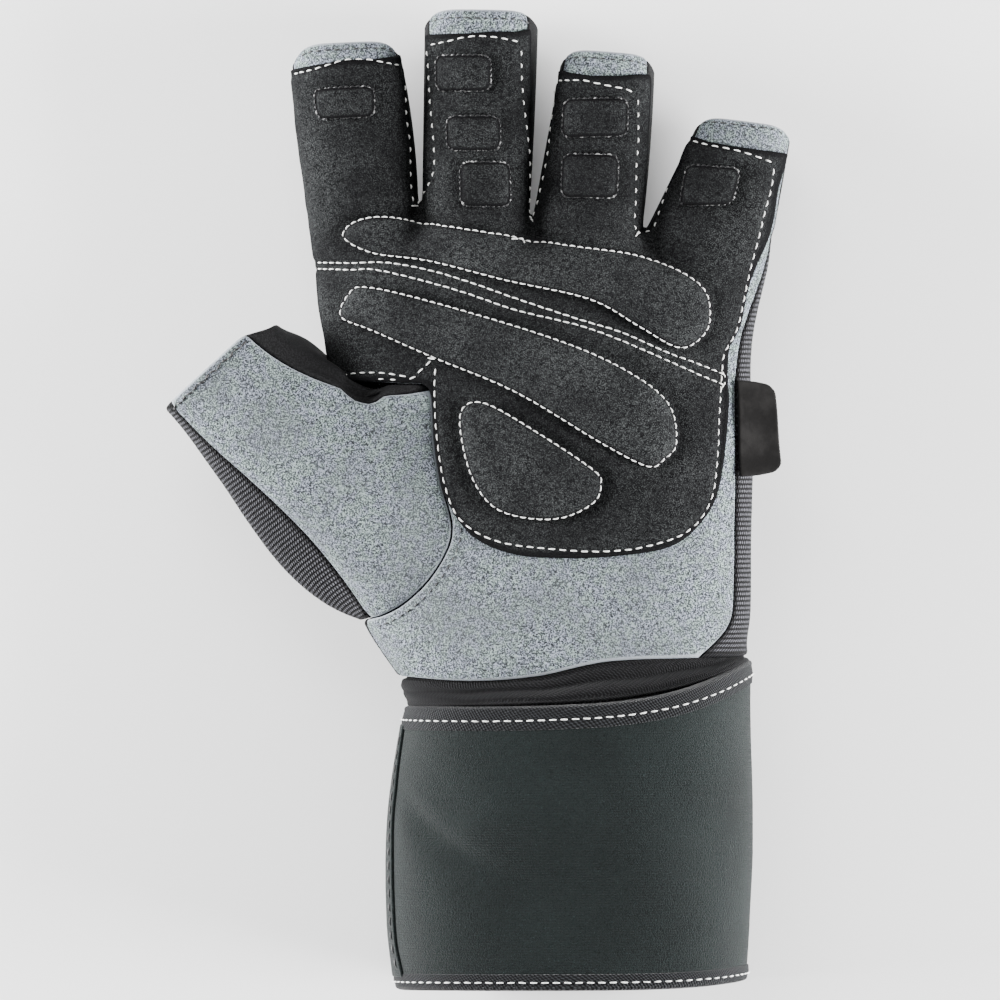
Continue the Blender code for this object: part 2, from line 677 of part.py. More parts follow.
def sweep_wrap(name, profile, look, start=0.0, end=WRAP_TURN, lift=0.0):
    """A piece that follows the wrap round the wrist. profile gives its section at an angle as a loop of (y, depth),
    where the depth is below the wrap's outer face."""
    count = max(2, round((end - start) / TURN_STEP))
    form = bmesh.new()
    rings = []
    for index in range(count + 1):
        turn = lerp(start, end, index / count)
        angle = wrap_angle(turn)
        ring = []
        for y, depth in profile(angle):
            ring.append(form.verts.new(wrist_point(angle, y, depth + turn_depth(turn) + lift)))
        rings.append(ring)
    for before, after in zip(rings, rings[1:]):
        for index in range(len(before)):
            form.faces.new((before[index - 1], before[index], after[index], after[index - 1]))
    form.faces.new(rings[0])
    form.faces.new(rings[-1][::-1])
    bmesh.ops.recalc_face_normals(form, faces=form.faces)
    mesh = bpy.data.meshes.new(name)
    form.to_mesh(mesh)
    form.free()
    return link(name, mesh, *look)


def wrap_bottom():
    """The height of the wrap's bottom edge."""
    return WRAP_TOP - WRAP_LENGTH


def wrap_profile(angle):
    """The wrap's own section: a wall between its two bindings."""
    outer = BINDING_THICKNESS + LAYER_GAP
    high = wrap_top(angle) - outer
    low = wrap_bottom() + outer
    down = [(lerp(high, low, index / WRAP_ROWS), outer) for index in range(WRAP_ROWS + 1)]
    return down + [(y, outer + WRAP_WALL) for y, _ in down[::-1]]


def binding_profile(edge, inward):
    """A folded strip round an edge of the wrap. inward is -1 below a top edge and 1 above a bottom edge."""
    inner = WRAP_WALL + 2 * (BINDING_THICKNESS + LAYER_GAP)
    lip = edge + inward * BINDING_HEIGHT
    web = edge + inward * BINDING_THICKNESS
    return [(lip, 0.0), (edge, 0.0), (edge, inner), (lip, inner), (lip, inner - BINDING_THICKNESS),
            (web, inner - BINDING_THICKNESS), (web, BINDING_THICKNESS), (lip, BINDING_THICKNESS)]


def hook_profile(angle):
    """The closure patch between the wrap's two turns."""
    high = wrap_top(angle) - HOOK_PATCH_MARGIN
    low = wrap_bottom() + HOOK_PATCH_MARGIN
    near = BINDING_THICKNESS + 3 * LAYER_GAP + WRAP_WALL
    far = layer_step() + BINDING_THICKNESS - LAYER_GAP
    down = [(lerp(high, low, index / WRAP_ROWS), near) for index in range(WRAP_ROWS + 1)]
    return down + [(y, far) for y, _ in down[::-1]]


def band_depth(angle):
    """How deep the wrist band lies below the wrap's outer face at an angle."""
    degrees = math.degrees(angle)
    if degrees > -100:
        inner_turn = layer_step() * ease((degrees + 20) / 60)
    else:
        inner_turn = turn_depth(180 - degrees)
    return inner_turn + layer_step()


def wrist_band(look):
    """The knit band: tucked into the hand, rolled out above the wrap and down inside it."""
    net = Net()
    tucked = WOVEN_WALL + BAND_CLEARANCE
    columns = []
    for index in range(BAND_COLUMNS):
        angle = math.pi - 2 * math.pi * index / BAND_COLUMNS
        seam = wrist_y((1 + power(math.cos(angle), 2 / OVAL_POWER)) / 2)
        top = wrap_top(angle) + LAYER_GAP
        roll = BAND_ROLL * ease((seam - top) / BAND_TUCK)
        heights = [top]
        for share in (0.2, 0.6, 1.0):
            heights.append(max(lerp(top, seam, share), heights[-1] + BAND_STEP))

        def by_hand(y, depth):
            row = palm_section(max(y, 0.0))
            inset = Section(y, row.left + depth, row.right - depth, row.side, row.front - depth, row.back + depth)
            x, z = oval(inset, angle)
            return Vector((x, y, z))

        def in_wrap(y):
            return wrist_point(angle, y, band_depth(angle))

        rows = [
            in_wrap(WRAP_TOP - BAND_LENGTH),
            in_wrap(top),
            by_hand(heights[1], tucked - roll),
            by_hand(heights[2], tucked - roll),
            by_hand(heights[3], tucked),
            by_hand(heights[3] + BAND_TUCK, tucked),
        ]
        columns.append([net.add(point) for point in rows])
    for index, column in enumerate(columns):
        after = columns[(index + 1) % BAND_COLUMNS]
        for row in range(len(column) - 1):
            net.strip("band", [column[row], after[row]], [column[row + 1], after[row + 1]])
    return shell("wrist_band", net, net.patches["band"], 0.0, -BAND_WALL, look)


def pull_tab(hand, look):
    """The pull tab, sewn on at the little finger seam and standing out past the side of the hand."""
    tree = hand.tree()
    ends = []
    for shift in (-0.5, 0.5):
        spot = Vector((TAB_X * HAND_WIDTH, TAB_Y * HAND_LENGTH + shift * TAB_LENGTH, 1.0))
        ends.append(tree.ray_cast(spot, Vector((0, 0, -1)))[0])
    place = (ends[0] + ends[1]) / 2
    slope = math.atan2(ends[1].z - ends[0].z, TAB_LENGTH)
    form = bmesh.new()
    corners = []
    for right, up, start in ((1, 1, 0), (0, 1, 90), (0, 0, 180), (1, 0, 270)):
        middle = Vector((lerp(TAB_CORNER, TAB_REACH - TAB_CORNER, right),
                         lerp(-TAB_LENGTH / 2 + TAB_CORNER, TAB_LENGTH / 2 - TAB_CORNER, up), 0.0))
        for step in range(4):
            angle = math.radians(start + 30 * step)
            corners.append(form.verts.new(middle + Vector((math.cos(angle), math.sin(angle), 0)) * TAB_CORNER))
    face = form.faces.new(corners)
    raised = bmesh.ops.extrude_face_region(form, geom=[face])
    tops = [item for item in raised["geom"] if isinstance(item, bmesh.types.BMVert)]
    bmesh.ops.translate(form, verts=tops, vec=(0, 0, TAB_THICKNESS))
    bmesh.ops.recalc_face_normals(form, faces=form.faces)
    mesh = bpy.data.meshes.new("pull_tab")
    form.to_mesh(mesh)
    form.free()
    tab = link("pull_tab", mesh, *look)
    tab.location = place + Vector((0.0, 0.0, TAB_SEAT))
    tab.rotation_euler = (slope, math.radians(TAB_LEAN), 0.0)
    return tab


def quads_under(net, quads, outline):
    """The quads that an outline covers, wholly or in part."""
    kept = []
    for quad in quads:
        corners = [net.points[number] for number in quad]
        left, right = min(point.x for point in corners), max(point.x for point in corners)
        low, high = min(point.y for point in corners), max(point.y for point in corners)
        crossed = any(left < point.x < right and low < point.y < high for point in outline)
        if crossed or any(distance_inside(point.to_2d(), outline) > 0 for point in corners):
            kept.append(quad)
    return kept


def sewn_pads(hand, look):
    """The three padded areas of the palm and the small pads of the fingers, on top of the overlay."""
    seat = OVERLAY_THICKNESS + 2 * LAYER_GAP
    front = hand.patches["front"]
    for name, spots in (("upper_pad", UPPER_PAD), ("middle_pad", MIDDLE_PAD), ("lower_pad", LOWER_PAD)):
        outline = smooth_loop(on_palm(spots), 3)

        def crown(number):
            inside = distance_inside(hand.points[number].to_2d(), outline)
            return seat + PALM_PAD_RISE * (0.35 + 0.65 * ease(inside / PAD_SHOULDER))

        pad = shell(name, hand, quads_under(hand, front, outline), crown, seat, look)
        cut(pad, prism(name + "_outline", outline, -0.05, 0.2), "INTERSECT", "MANIFOLD")
    for finger_pad in FINGER_PADS:
        outline = on_palm(finger_pad.corners)
        under = quads_under(hand, front, grown(outline, FINGER_PAD_RISE))
        pad = shell(finger_pad.name, hand, under, seat + FINGER_PAD_RISE, seat, look)
        cut(pad, prism(finger_pad.name + "_outline", outline, -0.05, 0.2), "INTERSECT")


def make_glove():
    """Makes every piece of the glove."""
    grey = (SUEDE_GREY, 0.95, glove)
    black = (SUEDE_BLACK, 0.95, glove)
    woven = (WOVEN_BLACK, 0.85, glove)
    hand = hand_net()
    starts, walls = thumb_base(hand)

    flat = [start.to_2d() for start in starts]
    outside = Vector((-HAND_WIDTH * 0.75, 0.0))
    first_back = next(index for index, line in enumerate(THUMB) if line.face == "back")
    front_hole = flat[:first_back] + [Vector((outside.x, flat[first_back - 1].y)), Vector((outside.x, flat[0].y))]
    back_hole = flat[first_back - 1:] + [flat[0], Vector((outside.x, flat[0].y)),
                                         Vector((outside.x, flat[first_back - 1].y))]
    front_cutter = prism("thumb_hole_front", grown(front_hole, HOLE_GAP), -0.05, 0.2)
    back_cutter = prism("thumb_hole_back", grown(back_hole, HOLE_GAP), -0.05, 0.2)

    palm = shell("palm_suede", hand, hand.patches["front"], 0.0, -SUEDE_WALL, grey)
    cut(palm, front_cutter, "DIFFERENCE")
    back = shell("back_panel", hand, hand.patches["back"], 0.0, -WOVEN_WALL, woven)
    cut(back, back_cutter, "DIFFERENCE")
    for index, name in enumerate(("fourchette_index_middle", "fourchette_middle_ring", "fourchette_ring_pinky")):
        shell(name, hand, hand.patches["fourchette_%d" % index], 0.0, -FOURCHETTE_WALL, woven)

    overlay = shell("palm_overlay", hand, hand.patches["front"], LAYER_GAP + OVERLAY_THICKNESS, LAYER_GAP, black)
    cut(overlay, prism("overlay_outline", on_palm(OVERLAY_OUTLINE + OVERLAY_TIPS), -0.05, 0.2), "INTERSECT")
    sewn_pads(hand, black)

    thumb, lines = thumb_net(starts)
    rims = {line[0]: wall for line, wall in zip(lines, walls)}
    shell("thumb_panel", thumb, thumb.patches["panel"], 0.0, -THUMB_WALL, grey, rims)
    shell("thumb_gusset", thumb, thumb.patches["gusset"], 0.0, -THUMB_WALL, black, rims)
    shell("thumb_back", thumb, thumb.patches["back"], 0.0, -THUMB_WALL, woven, rims)

    wrist_band(woven)
    sweep_wrap("wrist_wrap", wrap_profile, (WRAP_GREEN_GREY, 0.8, glove))
    sweep_wrap("wrap_top_binding", lambda angle: binding_profile(wrap_top(angle), -1), (BINDING_GREY, 0.8, glove))
    sweep_wrap("wrap_bottom_binding", lambda angle: binding_profile(wrap_bottom(), 1), (BINDING_GREY, 0.8, glove))
    sweep_wrap("hook_patch", hook_profile, (SUEDE_BLACK, 0.9, glove), *HOOK_PATCH_TURN)
    pull_tab(hand, (TAB_BROWN, 0.6, glove))


def centre_on_origin():
    """Moves the glove so that its box is centred over the origin and it lies on z = 0."""
    view = bpy.context.evaluated_depsgraph_get()
    points = []
    for piece in glove.objects:
        if piece.type == "MESH":
            solid = piece.evaluated_get(view)
            points.extend(solid.matrix_world @ corner.co for corner in solid.data.vertices)
    low = Vector([min(point[axis] for point in points) for axis in range(3)])
    high = Vector([max(point[axis] for point in points) for axis in range(3)])
    middle = (low + high) / 2
    origin.location -= Vector((middle.x, middle.y, low.z))


for old in list(bpy.data.objects):
    bpy.data.objects.remove(old, do_unlink=True)

glove = bpy.data.collections.new("weightlifting_glove")
cutters = bpy.data.collections.new("cutters")
bpy.context.scene.collection.children.link(glove)
bpy.context.scene.collection.children.link(cutters)
origin = bpy.data.objects.new("glove_origin", None)
glove.objects.link(origin)

make_glove()
centre_on_origin()
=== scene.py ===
"""Looks of a left-hand weightlifting glove with half fingers and a wrapped wrist.

The glove lies on its back with the palm up. +X points to the little finger, +Y to the fingertips and +Z
out of the palm. Metres throughout. Each operator makes one piece or a group of like pieces.
"""

import math
from collections import namedtuple
from functools import cache

import bmesh
import bpy
import numpy as np
from mathutils import Matrix, Vector, noise
from mathutils.bvhtree import BVHTree
from mathutils.kdtree import KDTree


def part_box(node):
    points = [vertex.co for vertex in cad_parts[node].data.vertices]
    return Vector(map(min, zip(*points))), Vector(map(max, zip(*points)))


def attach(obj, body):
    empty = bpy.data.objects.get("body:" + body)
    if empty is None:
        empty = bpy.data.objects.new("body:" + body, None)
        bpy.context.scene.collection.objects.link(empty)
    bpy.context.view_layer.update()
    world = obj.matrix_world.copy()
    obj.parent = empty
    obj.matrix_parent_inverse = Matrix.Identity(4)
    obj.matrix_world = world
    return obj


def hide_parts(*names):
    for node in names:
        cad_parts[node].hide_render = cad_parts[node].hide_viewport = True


bl_info = {
    "name": "Weightlifting glove",
    "version": (1, 0, 0),
    "blender": (4, 5, 0),
    "location": "View3D > Sidebar > Glove",
    "description": "Dresses a weightlifting glove in suede, weave, knit, tape and thread",
    "category": "Object",
}

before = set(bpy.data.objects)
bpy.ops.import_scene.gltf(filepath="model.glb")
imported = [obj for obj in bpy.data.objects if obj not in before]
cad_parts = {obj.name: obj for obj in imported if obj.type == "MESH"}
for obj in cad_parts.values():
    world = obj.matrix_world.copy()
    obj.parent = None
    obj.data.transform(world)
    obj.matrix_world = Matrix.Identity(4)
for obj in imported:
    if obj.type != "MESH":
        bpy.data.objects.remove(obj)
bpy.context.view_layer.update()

# Hand. OVAL_POWER squares its oval sections. At the roots of the fingers they pass into the fingers' own
# sections over the blends. Here and below, angles and turns are in degrees where nothing else is said.
HAND_WIDTH = 0.110
HAND_LENGTH = 0.1116
HAND_DEPTH = 0.042
OVAL_POWER = 2.3
FRONT_BLEND = 0.015
BACK_BLEND = 0.020
WRIST_SEAM_TURN = 20.0
WRIST_SEAM_REACH = 0.080

# Cloth and leather
SUEDE_WALL = 0.0013
WOVEN_WALL = 0.0014
STRETCH_WALL = 0.0011
LAYER_GAP = 0.0003
OVERLAY_THICKNESS = 0.0010
FINGER_PAD_RISE = 0.0012
FINGER_PAD_CORNER = 0.0022
FINGER_PAD_SHOULDER = FINGER_PAD_RISE * 1.6
PAD_UPRIGHT = 0.8
PAD_SEAT = 0.7
PAD_MARGIN = 0.002
EDGE_ROLL = 0.0009
EDGE_DROP = 0.8
PANEL_LIFT = 0.0002

# Wrist wrap. Turns run in degrees from its outer end. The second turn dips under the first at UNDER_TURN.
WRAP_WIDTH = 0.0864
WRAP_DEPTH = 0.058
WRAP_LENGTH = 0.0684
WRAP_TOP = -0.0060
WRAP_FLAT = 0.0025
WRAP_WALL = 0.0020
WRAP_RISE = 0.0110
WRAP_RISE_POWER = 4
WRAP_TURN = 535.0
WRAP_STEP = 2.5
UNDER_TURN = 300.0
UNDER_RUN = 52.0
FOLD_START = 4.0
FOLD_FADE = 30.0
BOTTOM_RISE = 0.0022
BOTTOM_RISE_POWER = 6
BOTTOM_BULGE = 0.0009
BINDING_THICKNESS = 0.0007
BINDING_HEIGHT = 0.0040
TAPE_HEIGHT = 0.0058
HOOK_PATCH_TURN = (15.0, 60.0)
HEM_TURN = 20.0
HEM_RISE = 0.0004
HEM_DOWN = (0.0, 0.25, 0.5, 0.85, 0.95, 1.0)
HEM_SHARE = (0.46, 0.62, 0.76, 0.82, 1.0, 1.15)
HOOK_PATCH_MARGIN = 0.010

# Wrist band. From the angle INNER_END on it goes deeper, over INNER_END_RUN, to pass under the wrap's inner
# turn too.
INNER_END = -80.0
INNER_END_RUN = 60.0
BAND_WALL = 0.0012
BAND_TUCK = 0.005
BAND_STEP = 0.0018
BAND_LENGTH = 0.022
BAND_ROLL = 0.0014
BAND_LIP = 0.0030
BAND_BULGE = 0.0026
BAND_SHELF = 0.0002
BAND_DROOP = 0.0011
BAND_TURN_IN = 0.0005
BAND_ROWS = 16
BAND_FOLDS = 2.6
BAND_CLEARANCE = 0.0017

# Pull tab
TAB_LENGTH = 0.0233
TAB_REACH = 0.0103
TAB_THICKNESS = 0.0016
TAB_CORNER = 0.0024
TAB_LEAN = 12.0
TAB_TAPER = 0.115
TAB_NARROWING = 0.13
TAB_WAVE = 0.0004
TAB_CURL = 0.0007
TAB_EDGE = 0.0004
TAB_X = 0.424
TAB_Y = 0.540

# Rows and columns of the nets before they are smoothed, and of the wrap's sections. PALM_CROWDING draws the
# palm's rows together towards the fingers. A point within SNAP of a cut counts as on it.
PALM_ROWS = 22
PALM_CROWDING = 1.35
FINGER_ROWS = 9
FRONT_COLUMNS = 10
SIDE_COLUMNS = 4
THUMB_ROWS = 16
THUMB_STEPS = 3
WRAP_ROWS = 48
HEM_ROWS = 40
HOOK_PATCH_ROWS = 12
BAND_COLUMNS = 96
SNAP = 0.00006

# Cloth: how far apart the pills, loops and ribs lie
PILL_WIDTH = 0.0009
PILL_ROW = 0.00112
LOOP_WIDTH = 0.0008
LOOP_ROW = 0.00062
RIB_PITCH = 0.0009

# Kinds of stitch, in shares of the stitch settings. lift is how far the thread stands out, turn how far each
# stitch turns to one side and then the other, in radians.
Stitch = namedtuple("Stitch", "length pitch thick lift turn", defaults=(1.0, 1.0, 1.0, 0.35, 0.0))
PLAIN_STITCH = Stitch()
LINE_STITCH = Stitch(pitch=0.82)
PAD_STITCH = Stitch(0.90, 0.74, 0.95)
FINGER_PAD_STITCH = Stitch(0.75, 0.52, 1.1, 0.5, 0.2)
TIP_STITCH = Stitch(1.0, 0.96)
SEAM_STITCH = Stitch(0.72, 1.12)
WEB_STITCH = Stitch(0.8, 0.8)
KNOT_STITCH = Stitch(0.6, 0.23, 1.0, 0.6)
HEM_STITCH = Stitch(1.0, 0.86)
THUMB_STITCH = Stitch(1.2, 0.72, 1.3, 0.5, 0.35)
PALM_SEAM_STITCH = Stitch(1.0, 0.86, 0.8)
TAPE_STITCH = Stitch(1.05)
WRAP_END_STITCH = Stitch(1.5, 1.2, 1.3)
GROOVE_WIDTH = 0.0009
PAD_GROOVE = 1.6
PAD_STITCH_INSET = 0.0004
KNOT_REACH = 0.0007
PALM_SEAM_OFFSET = 0.0022
FINGER_HEM = 0.955
THREAD_SIDES = 6
THREAD_RINGS = 6

# Palm sections. y is a share of HAND_LENGTH, left and right of HAND_WIDTH, the heights of HAND_DEPTH.
Section = namedtuple("Section", "y left right side front back")
PALM = [
    Section(0.00, -0.310, 0.436, 0.69, 1.17, 0.20),
    Section(0.06, -0.356, 0.449, 0.66, 1.15, 0.15),
    Section(0.13, -0.400, 0.454, 0.62, 1.10, 0.10),
    Section(0.26, -0.410, 0.456, 0.58, 1.05, 0.05),
    Section(0.39, -0.418, 0.458, 0.54, 1.02, 0.02),
    Section(0.52, -0.437, 0.460, 0.50, 0.99, 0.00),
    Section(0.65, -0.461, 0.456, 0.46, 0.95, -0.02),
    Section(0.73, -0.474, 0.461, 0.44, 0.92, -0.03),
    Section(0.81, -0.489, 0.476, 0.42, 0.88, -0.03),
    Section(0.90, -0.498, 0.498, 0.41, 0.84, -0.02),
    Section(1.00, -0.508, 0.508, 0.40, 0.80, 0.02),
]

# The wrist seam, which climbs towards the little finger. across is 0 at the thumb side and 1 at the other, y a
# share of HAND_LENGTH.
WristSeam = namedtuple("WristSeam", "across y")
WRIST_SEAM = [
    WristSeam(0.0, 0.006),
    WristSeam(0.2, 0.000),
    WristSeam(0.4, 0.012),
    WristSeam(0.6, 0.044),
    WristSeam(0.8, 0.052),
    WristSeam(1.0, 0.054),
]

# Fingers. Across the hand in shares of HAND_WIDTH, along it of HAND_LENGTH, heights of HAND_DEPTH. The seam
# angles are where the front and back pieces end on the finger's oval, in degrees from the little finger side.
Finger = namedtuple(
    "Finger",
    "name root_left root_right tip_left tip_right bulge root_y_left root_y_right tip_y_left tip_y_right drop "
    "front_root front_tip back_root back_tip seam_front_left seam_front_right seam_back_right seam_back_left "
    "seam_tip_right",
)
FINGERS = [
    Finger("index", -0.511, -0.272, -0.550, -0.310, 0.008, 1.022, 1.028, 1.366, 1.378, 0.038,
           0.78, 0.74, 0.05, 0.16, 172, 25, -25, -188, 25),
    Finger("middle", -0.265, -0.029, -0.260, -0.009, 0.002, 1.028, 1.000, 1.444, 1.440, 0.032,
           0.82, 0.76, 0.04, 0.15, 155, 25, -25, -155, 37),
    Finger("ring", -0.022, 0.219, 0.039, 0.246, 0.004, 1.000, 0.972, 1.360, 1.344, 0.030,
           0.79, 0.73, 0.05, 0.16, 155, 25, -25, -155, 34),
    Finger("pinky", 0.226, 0.511, 0.336, 0.544, 0.000, 0.972, 0.974, 1.218, 1.190, 0.026,
           0.72, 0.66, 0.07, 0.18, 155, 12, 12, -155, 12),
]
FINGER_SIDE_ROOT = 0.40
FINGER_SIDE_TIP = 0.44
FINGER_CORNER = 8

# The little finger side seam: its angle on the palm's oval in degrees, at shares of HAND_LENGTH.
SideSeam = namedtuple("SideSeam", "y angle")
SIDE_SEAM = [
    SideSeam(0.00, 26), SideSeam(0.60, 25), SideSeam(0.74, 21), SideSeam(0.84, 13), SideSeam(1.00, 12),
]

# Thumb. Where its base meets the hand, with the place on the thumb's tip oval that each base point runs to,
# the heading and rise it sets off with in degrees, how far it goes before it turns and how long it runs
# straight to the tip, both as shares of HAND_LENGTH. Each strip of cloth lies between its row and the next.
ThumbLine = namedtuple("ThumbLine", "piece x y face tip_angle heading rise reach run")
THUMB = [
    ThumbLine("back", -0.400, 0.127, "side", 176, 161, 0, 0.23, 0.27),
    ThumbLine("panel", -0.378, 0.131, "front", 152, 121, 2, 0.30, 0.27),
    ThumbLine("panel", -0.345, 0.142, "front", 144, 130, 3, 0.31, 0.27),
    ThumbLine("panel", -0.300, 0.168, "front", 133, 137, 4, 0.32, 0.27),
    ThumbLine("panel", -0.247, 0.218, "front", 118, 144, 4, 0.34, 0.27),
    ThumbLine("panel", -0.205, 0.288, "front", 104, 146, 4, 0.36, 0.27),
    ThumbLine("panel", -0.200, 0.345, "front", 92, 149, 3, 0.36, 0.26),
    ThumbLine("panel", -0.222, 0.420, "front", 82, 159, 2, 0.33, 0.24),
    ThumbLine("panel", -0.238, 0.516, "front", 72, 174, 0, 0.29, 0.20),
    ThumbLine("gusset", -0.247, 0.626, "front", 57, 195, -4, 0.18, 0.06),
    ThumbLine("gusset", -0.310, 0.638, "front", 40, 190, -14, 0.12, 0.12),
    ThumbLine("gusset", -0.380, 0.641, "front", 22, 148, 0, 0.11, 0.12),
    ThumbLine("gusset", -0.437, 0.642, "side", 4, 108, 4, 0.13, 0.05),
    ThumbLine("gusset", -0.412, 0.634, "back", -24, 124, 4, 0.13, 0.06),
    ThumbLine("back", -0.385, 0.570, "back", -46, 164, 12, 0.20, 0.22),
    ThumbLine("back", -0.365, 0.470, "back", -70, 158, 12, 0.26, 0.26),
    ThumbLine("back", -0.338, 0.375, "back", -94, 152, 10, 0.30, 0.27),
    ThumbLine("back", -0.332, 0.270, "back", -118, 150, 8, 0.30, 0.27),
    ThumbLine("back", -0.345, 0.185, "back", -142, 154, 6, 0.27, 0.27),
    ThumbLine("back", -0.372, 0.137, "back", -166, 159, 2, 0.25, 0.27),
]
THUMB_TIP_X = -0.713
THUMB_TIP_Y = 0.686
THUMB_TIP_Z = 0.72
THUMB_TIP_WIDTH = 0.0335
THUMB_TIP_DEPTH = 0.0250
THUMB_HEADING = 132.5
THUMB_SETBACK = 0.0030
THUMB_SETBACK_FROM = 0.45
THUMB_HEM = 0.0017

# The web between thumb and hand: the middle of its dip, with its depth and its size across and along, and the
# lip beside it, which stands highest a little in from the panel's edge.
WEB_DIP = (-0.392, 0.638)
WEB_DIP_DEPTH = 0.0030
WEB_DIP_SIZE = (0.0045, 0.0035)
WEB_LIP = 0.0014
WEB_LIP_SIZE = (0.0055, 0.0080)
WEB_LIP_IN = 0.0011
WEB_LIP_WIDTH = 0.0009

# The notch in the upper edge of the thumb's panel.
WEB_NOTCH = (-0.393, 0.606)
WEB_NOTCH_DEPTH = 0.0026
WEB_NOTCH_SIZE = (0.0043, 0.0045)

# Outlines on the palm, in shares of HAND_WIDTH across and HAND_LENGTH along.
Spot = namedtuple("Spot", "x y")


def palm_spots(*pairs):
    """Spots from pairs of x and y."""
    return [Spot(*pair) for pair in pairs]


OVERLAY_OUTLINE = palm_spots(
    (-0.56, 0.6), (-0.44, 0.6), (-0.365, 0.6), (-0.3, 0.6), (-0.258, 0.598), (-0.243, 0.57),
    (-0.236, 0.505), (-0.222, 0.42), (-0.19, 0.352), (-0.145, 0.303), (-0.061, 0.27), (0.063, 0.262),
    (0.19, 0.27), (0.284, 0.29), (0.345, 0.34), (0.378, 0.402), (0.395, 0.505), (0.402, 0.598),
    (0.402, 0.7), (0.43, 0.762), (0.448, 0.843), (0.465, 0.895), (0.492, 0.964), (0.511, 1.06),
    (0.53, 1.135),
)
OVERLAY_TIPS = palm_spots(
    (0.476, 1.14), (0.417, 1.148), (0.359, 1.159), (0.317, 1.176), (0.299, 1.181), (0.262, 1.25),
    (0.26, 1.305), (0.203, 1.303), (0.168, 1.299), (0.105, 1.299), (0.068, 1.305), (0.022, 1.318),
    (-0.002, 1.36), (-0.004, 1.404), (-0.033, 1.402), (-0.059, 1.394), (-0.107, 1.394), (-0.164, 1.39),
    (-0.223, 1.389), (-0.273, 1.391), (-0.279, 1.359), (-0.306, 1.355), (-0.328, 1.342), (-0.367, 1.335),
    (-0.432, 1.333), (-0.496, 1.323), (-0.559, 1.314),
)
PALM_PADS = {
    "upper_pad": palm_spots(
        (-0.437, 0.95), (-0.415, 0.985), (-0.345, 0.998), (-0.216, 0.978), (0.048, 0.937), (0.225, 0.91),
        (0.345, 0.85), (0.366, 0.775), (0.34, 0.728), (0.29, 0.712), (0.205, 0.758), (0.1, 0.815),
        (-0.08, 0.855), (-0.247, 0.897), (-0.372, 0.915),
    ),
    "middle_pad": palm_spots(
        (-0.443, 0.78), (-0.425, 0.832), (-0.385, 0.847), (-0.247, 0.816), (0.015, 0.738), (0.172, 0.672),
        (0.272, 0.598), (0.292, 0.51), (0.264, 0.472), (0.227, 0.456), (0.127, 0.505), (-0.06, 0.615),
        (-0.24, 0.69), (-0.372, 0.748),
    ),
    "lower_pad": palm_spots(
        (-0.183, 0.54), (-0.172, 0.59), (-0.124, 0.596), (-0.03, 0.545), (0.107, 0.456), (0.128, 0.42),
        (0.107, 0.376), (0.022, 0.343), (-0.094, 0.361), (-0.155, 0.43),
    ),
}
FINGER_PADS = {
    "index_pad": palm_spots((-0.491, 1.206), (-0.368, 1.211), (-0.37, 1.276), (-0.5, 1.27)),
    "middle_pad_top": palm_spots((-0.232, 1.266), (-0.115, 1.266), (-0.115, 1.342), (-0.234, 1.342)),
    "middle_pad_mid": palm_spots((-0.208, 1.138), (-0.094, 1.138), (-0.096, 1.211), (-0.21, 1.211)),
    "middle_pad_low": palm_spots((-0.178, 1.018), (-0.072, 1.018), (-0.074, 1.112), (-0.18, 1.112)),
    "ring_pad_top": palm_spots((0.042, 1.166), (0.182, 1.17), (0.184, 1.25), (0.046, 1.248)),
    "ring_pad_low": palm_spots((0.04, 1.038), (0.16, 1.036), (0.164, 1.128), (0.044, 1.13)),
    "pinky_pad": palm_spots((0.298, 1.02), (0.412, 1.022), (0.43, 1.1), (0.314, 1.108)),
}

# Rows of stitches on the palm, as the spots they pass through.
OVERLAY_ROWS = {
    "overlay": palm_spots(
        (0.504, 1.105), (0.498, 1.059), (0.484, 1.009), (0.472, 0.959), (0.449, 0.871), (0.424, 0.759),
        (0.395, 0.703), (0.389, 0.66), (0.382, 0.548), (0.38, 0.495), (0.365, 0.389), (0.314, 0.32),
        (0.221, 0.287), (0.127, 0.277), (0.033, 0.281), (-0.094, 0.297), (-0.175, 0.34), (-0.212, 0.413),
        (-0.231, 0.525), (-0.236, 0.62), (-0.234, 0.673),
    ),
    "upper_line": palm_spots(
        (-0.493, 0.899), (-0.421, 0.897), (-0.341, 0.897), (-0.247, 0.88), (-0.153, 0.852), (-0.059, 0.819),
        (0.079, 0.774), (0.172, 0.746), (0.266, 0.705), (0.33, 0.682), (0.396, 0.656),
    ),
    "lower_line": palm_spots(
        (-0.493, 0.886), (-0.421, 0.882), (-0.365, 0.882), (-0.247, 0.854), (-0.153, 0.826), (-0.059, 0.794),
        (0.079, 0.761), (0.172, 0.728), (0.266, 0.688), (0.33, 0.66), (0.396, 0.633),
    ),
    "web": palm_spots(
        (-0.441, 0.654), (-0.413, 0.659), (-0.383, 0.661), (-0.344, 0.659), (-0.3, 0.652), (-0.284, 0.647),
        (-0.271, 0.661), (-0.251, 0.678), (-0.242, 0.69),
    ),
}
LOWER_WEB_ROW = palm_spots((-0.366, 0.646), (-0.34, 0.647), (-0.314, 0.643))
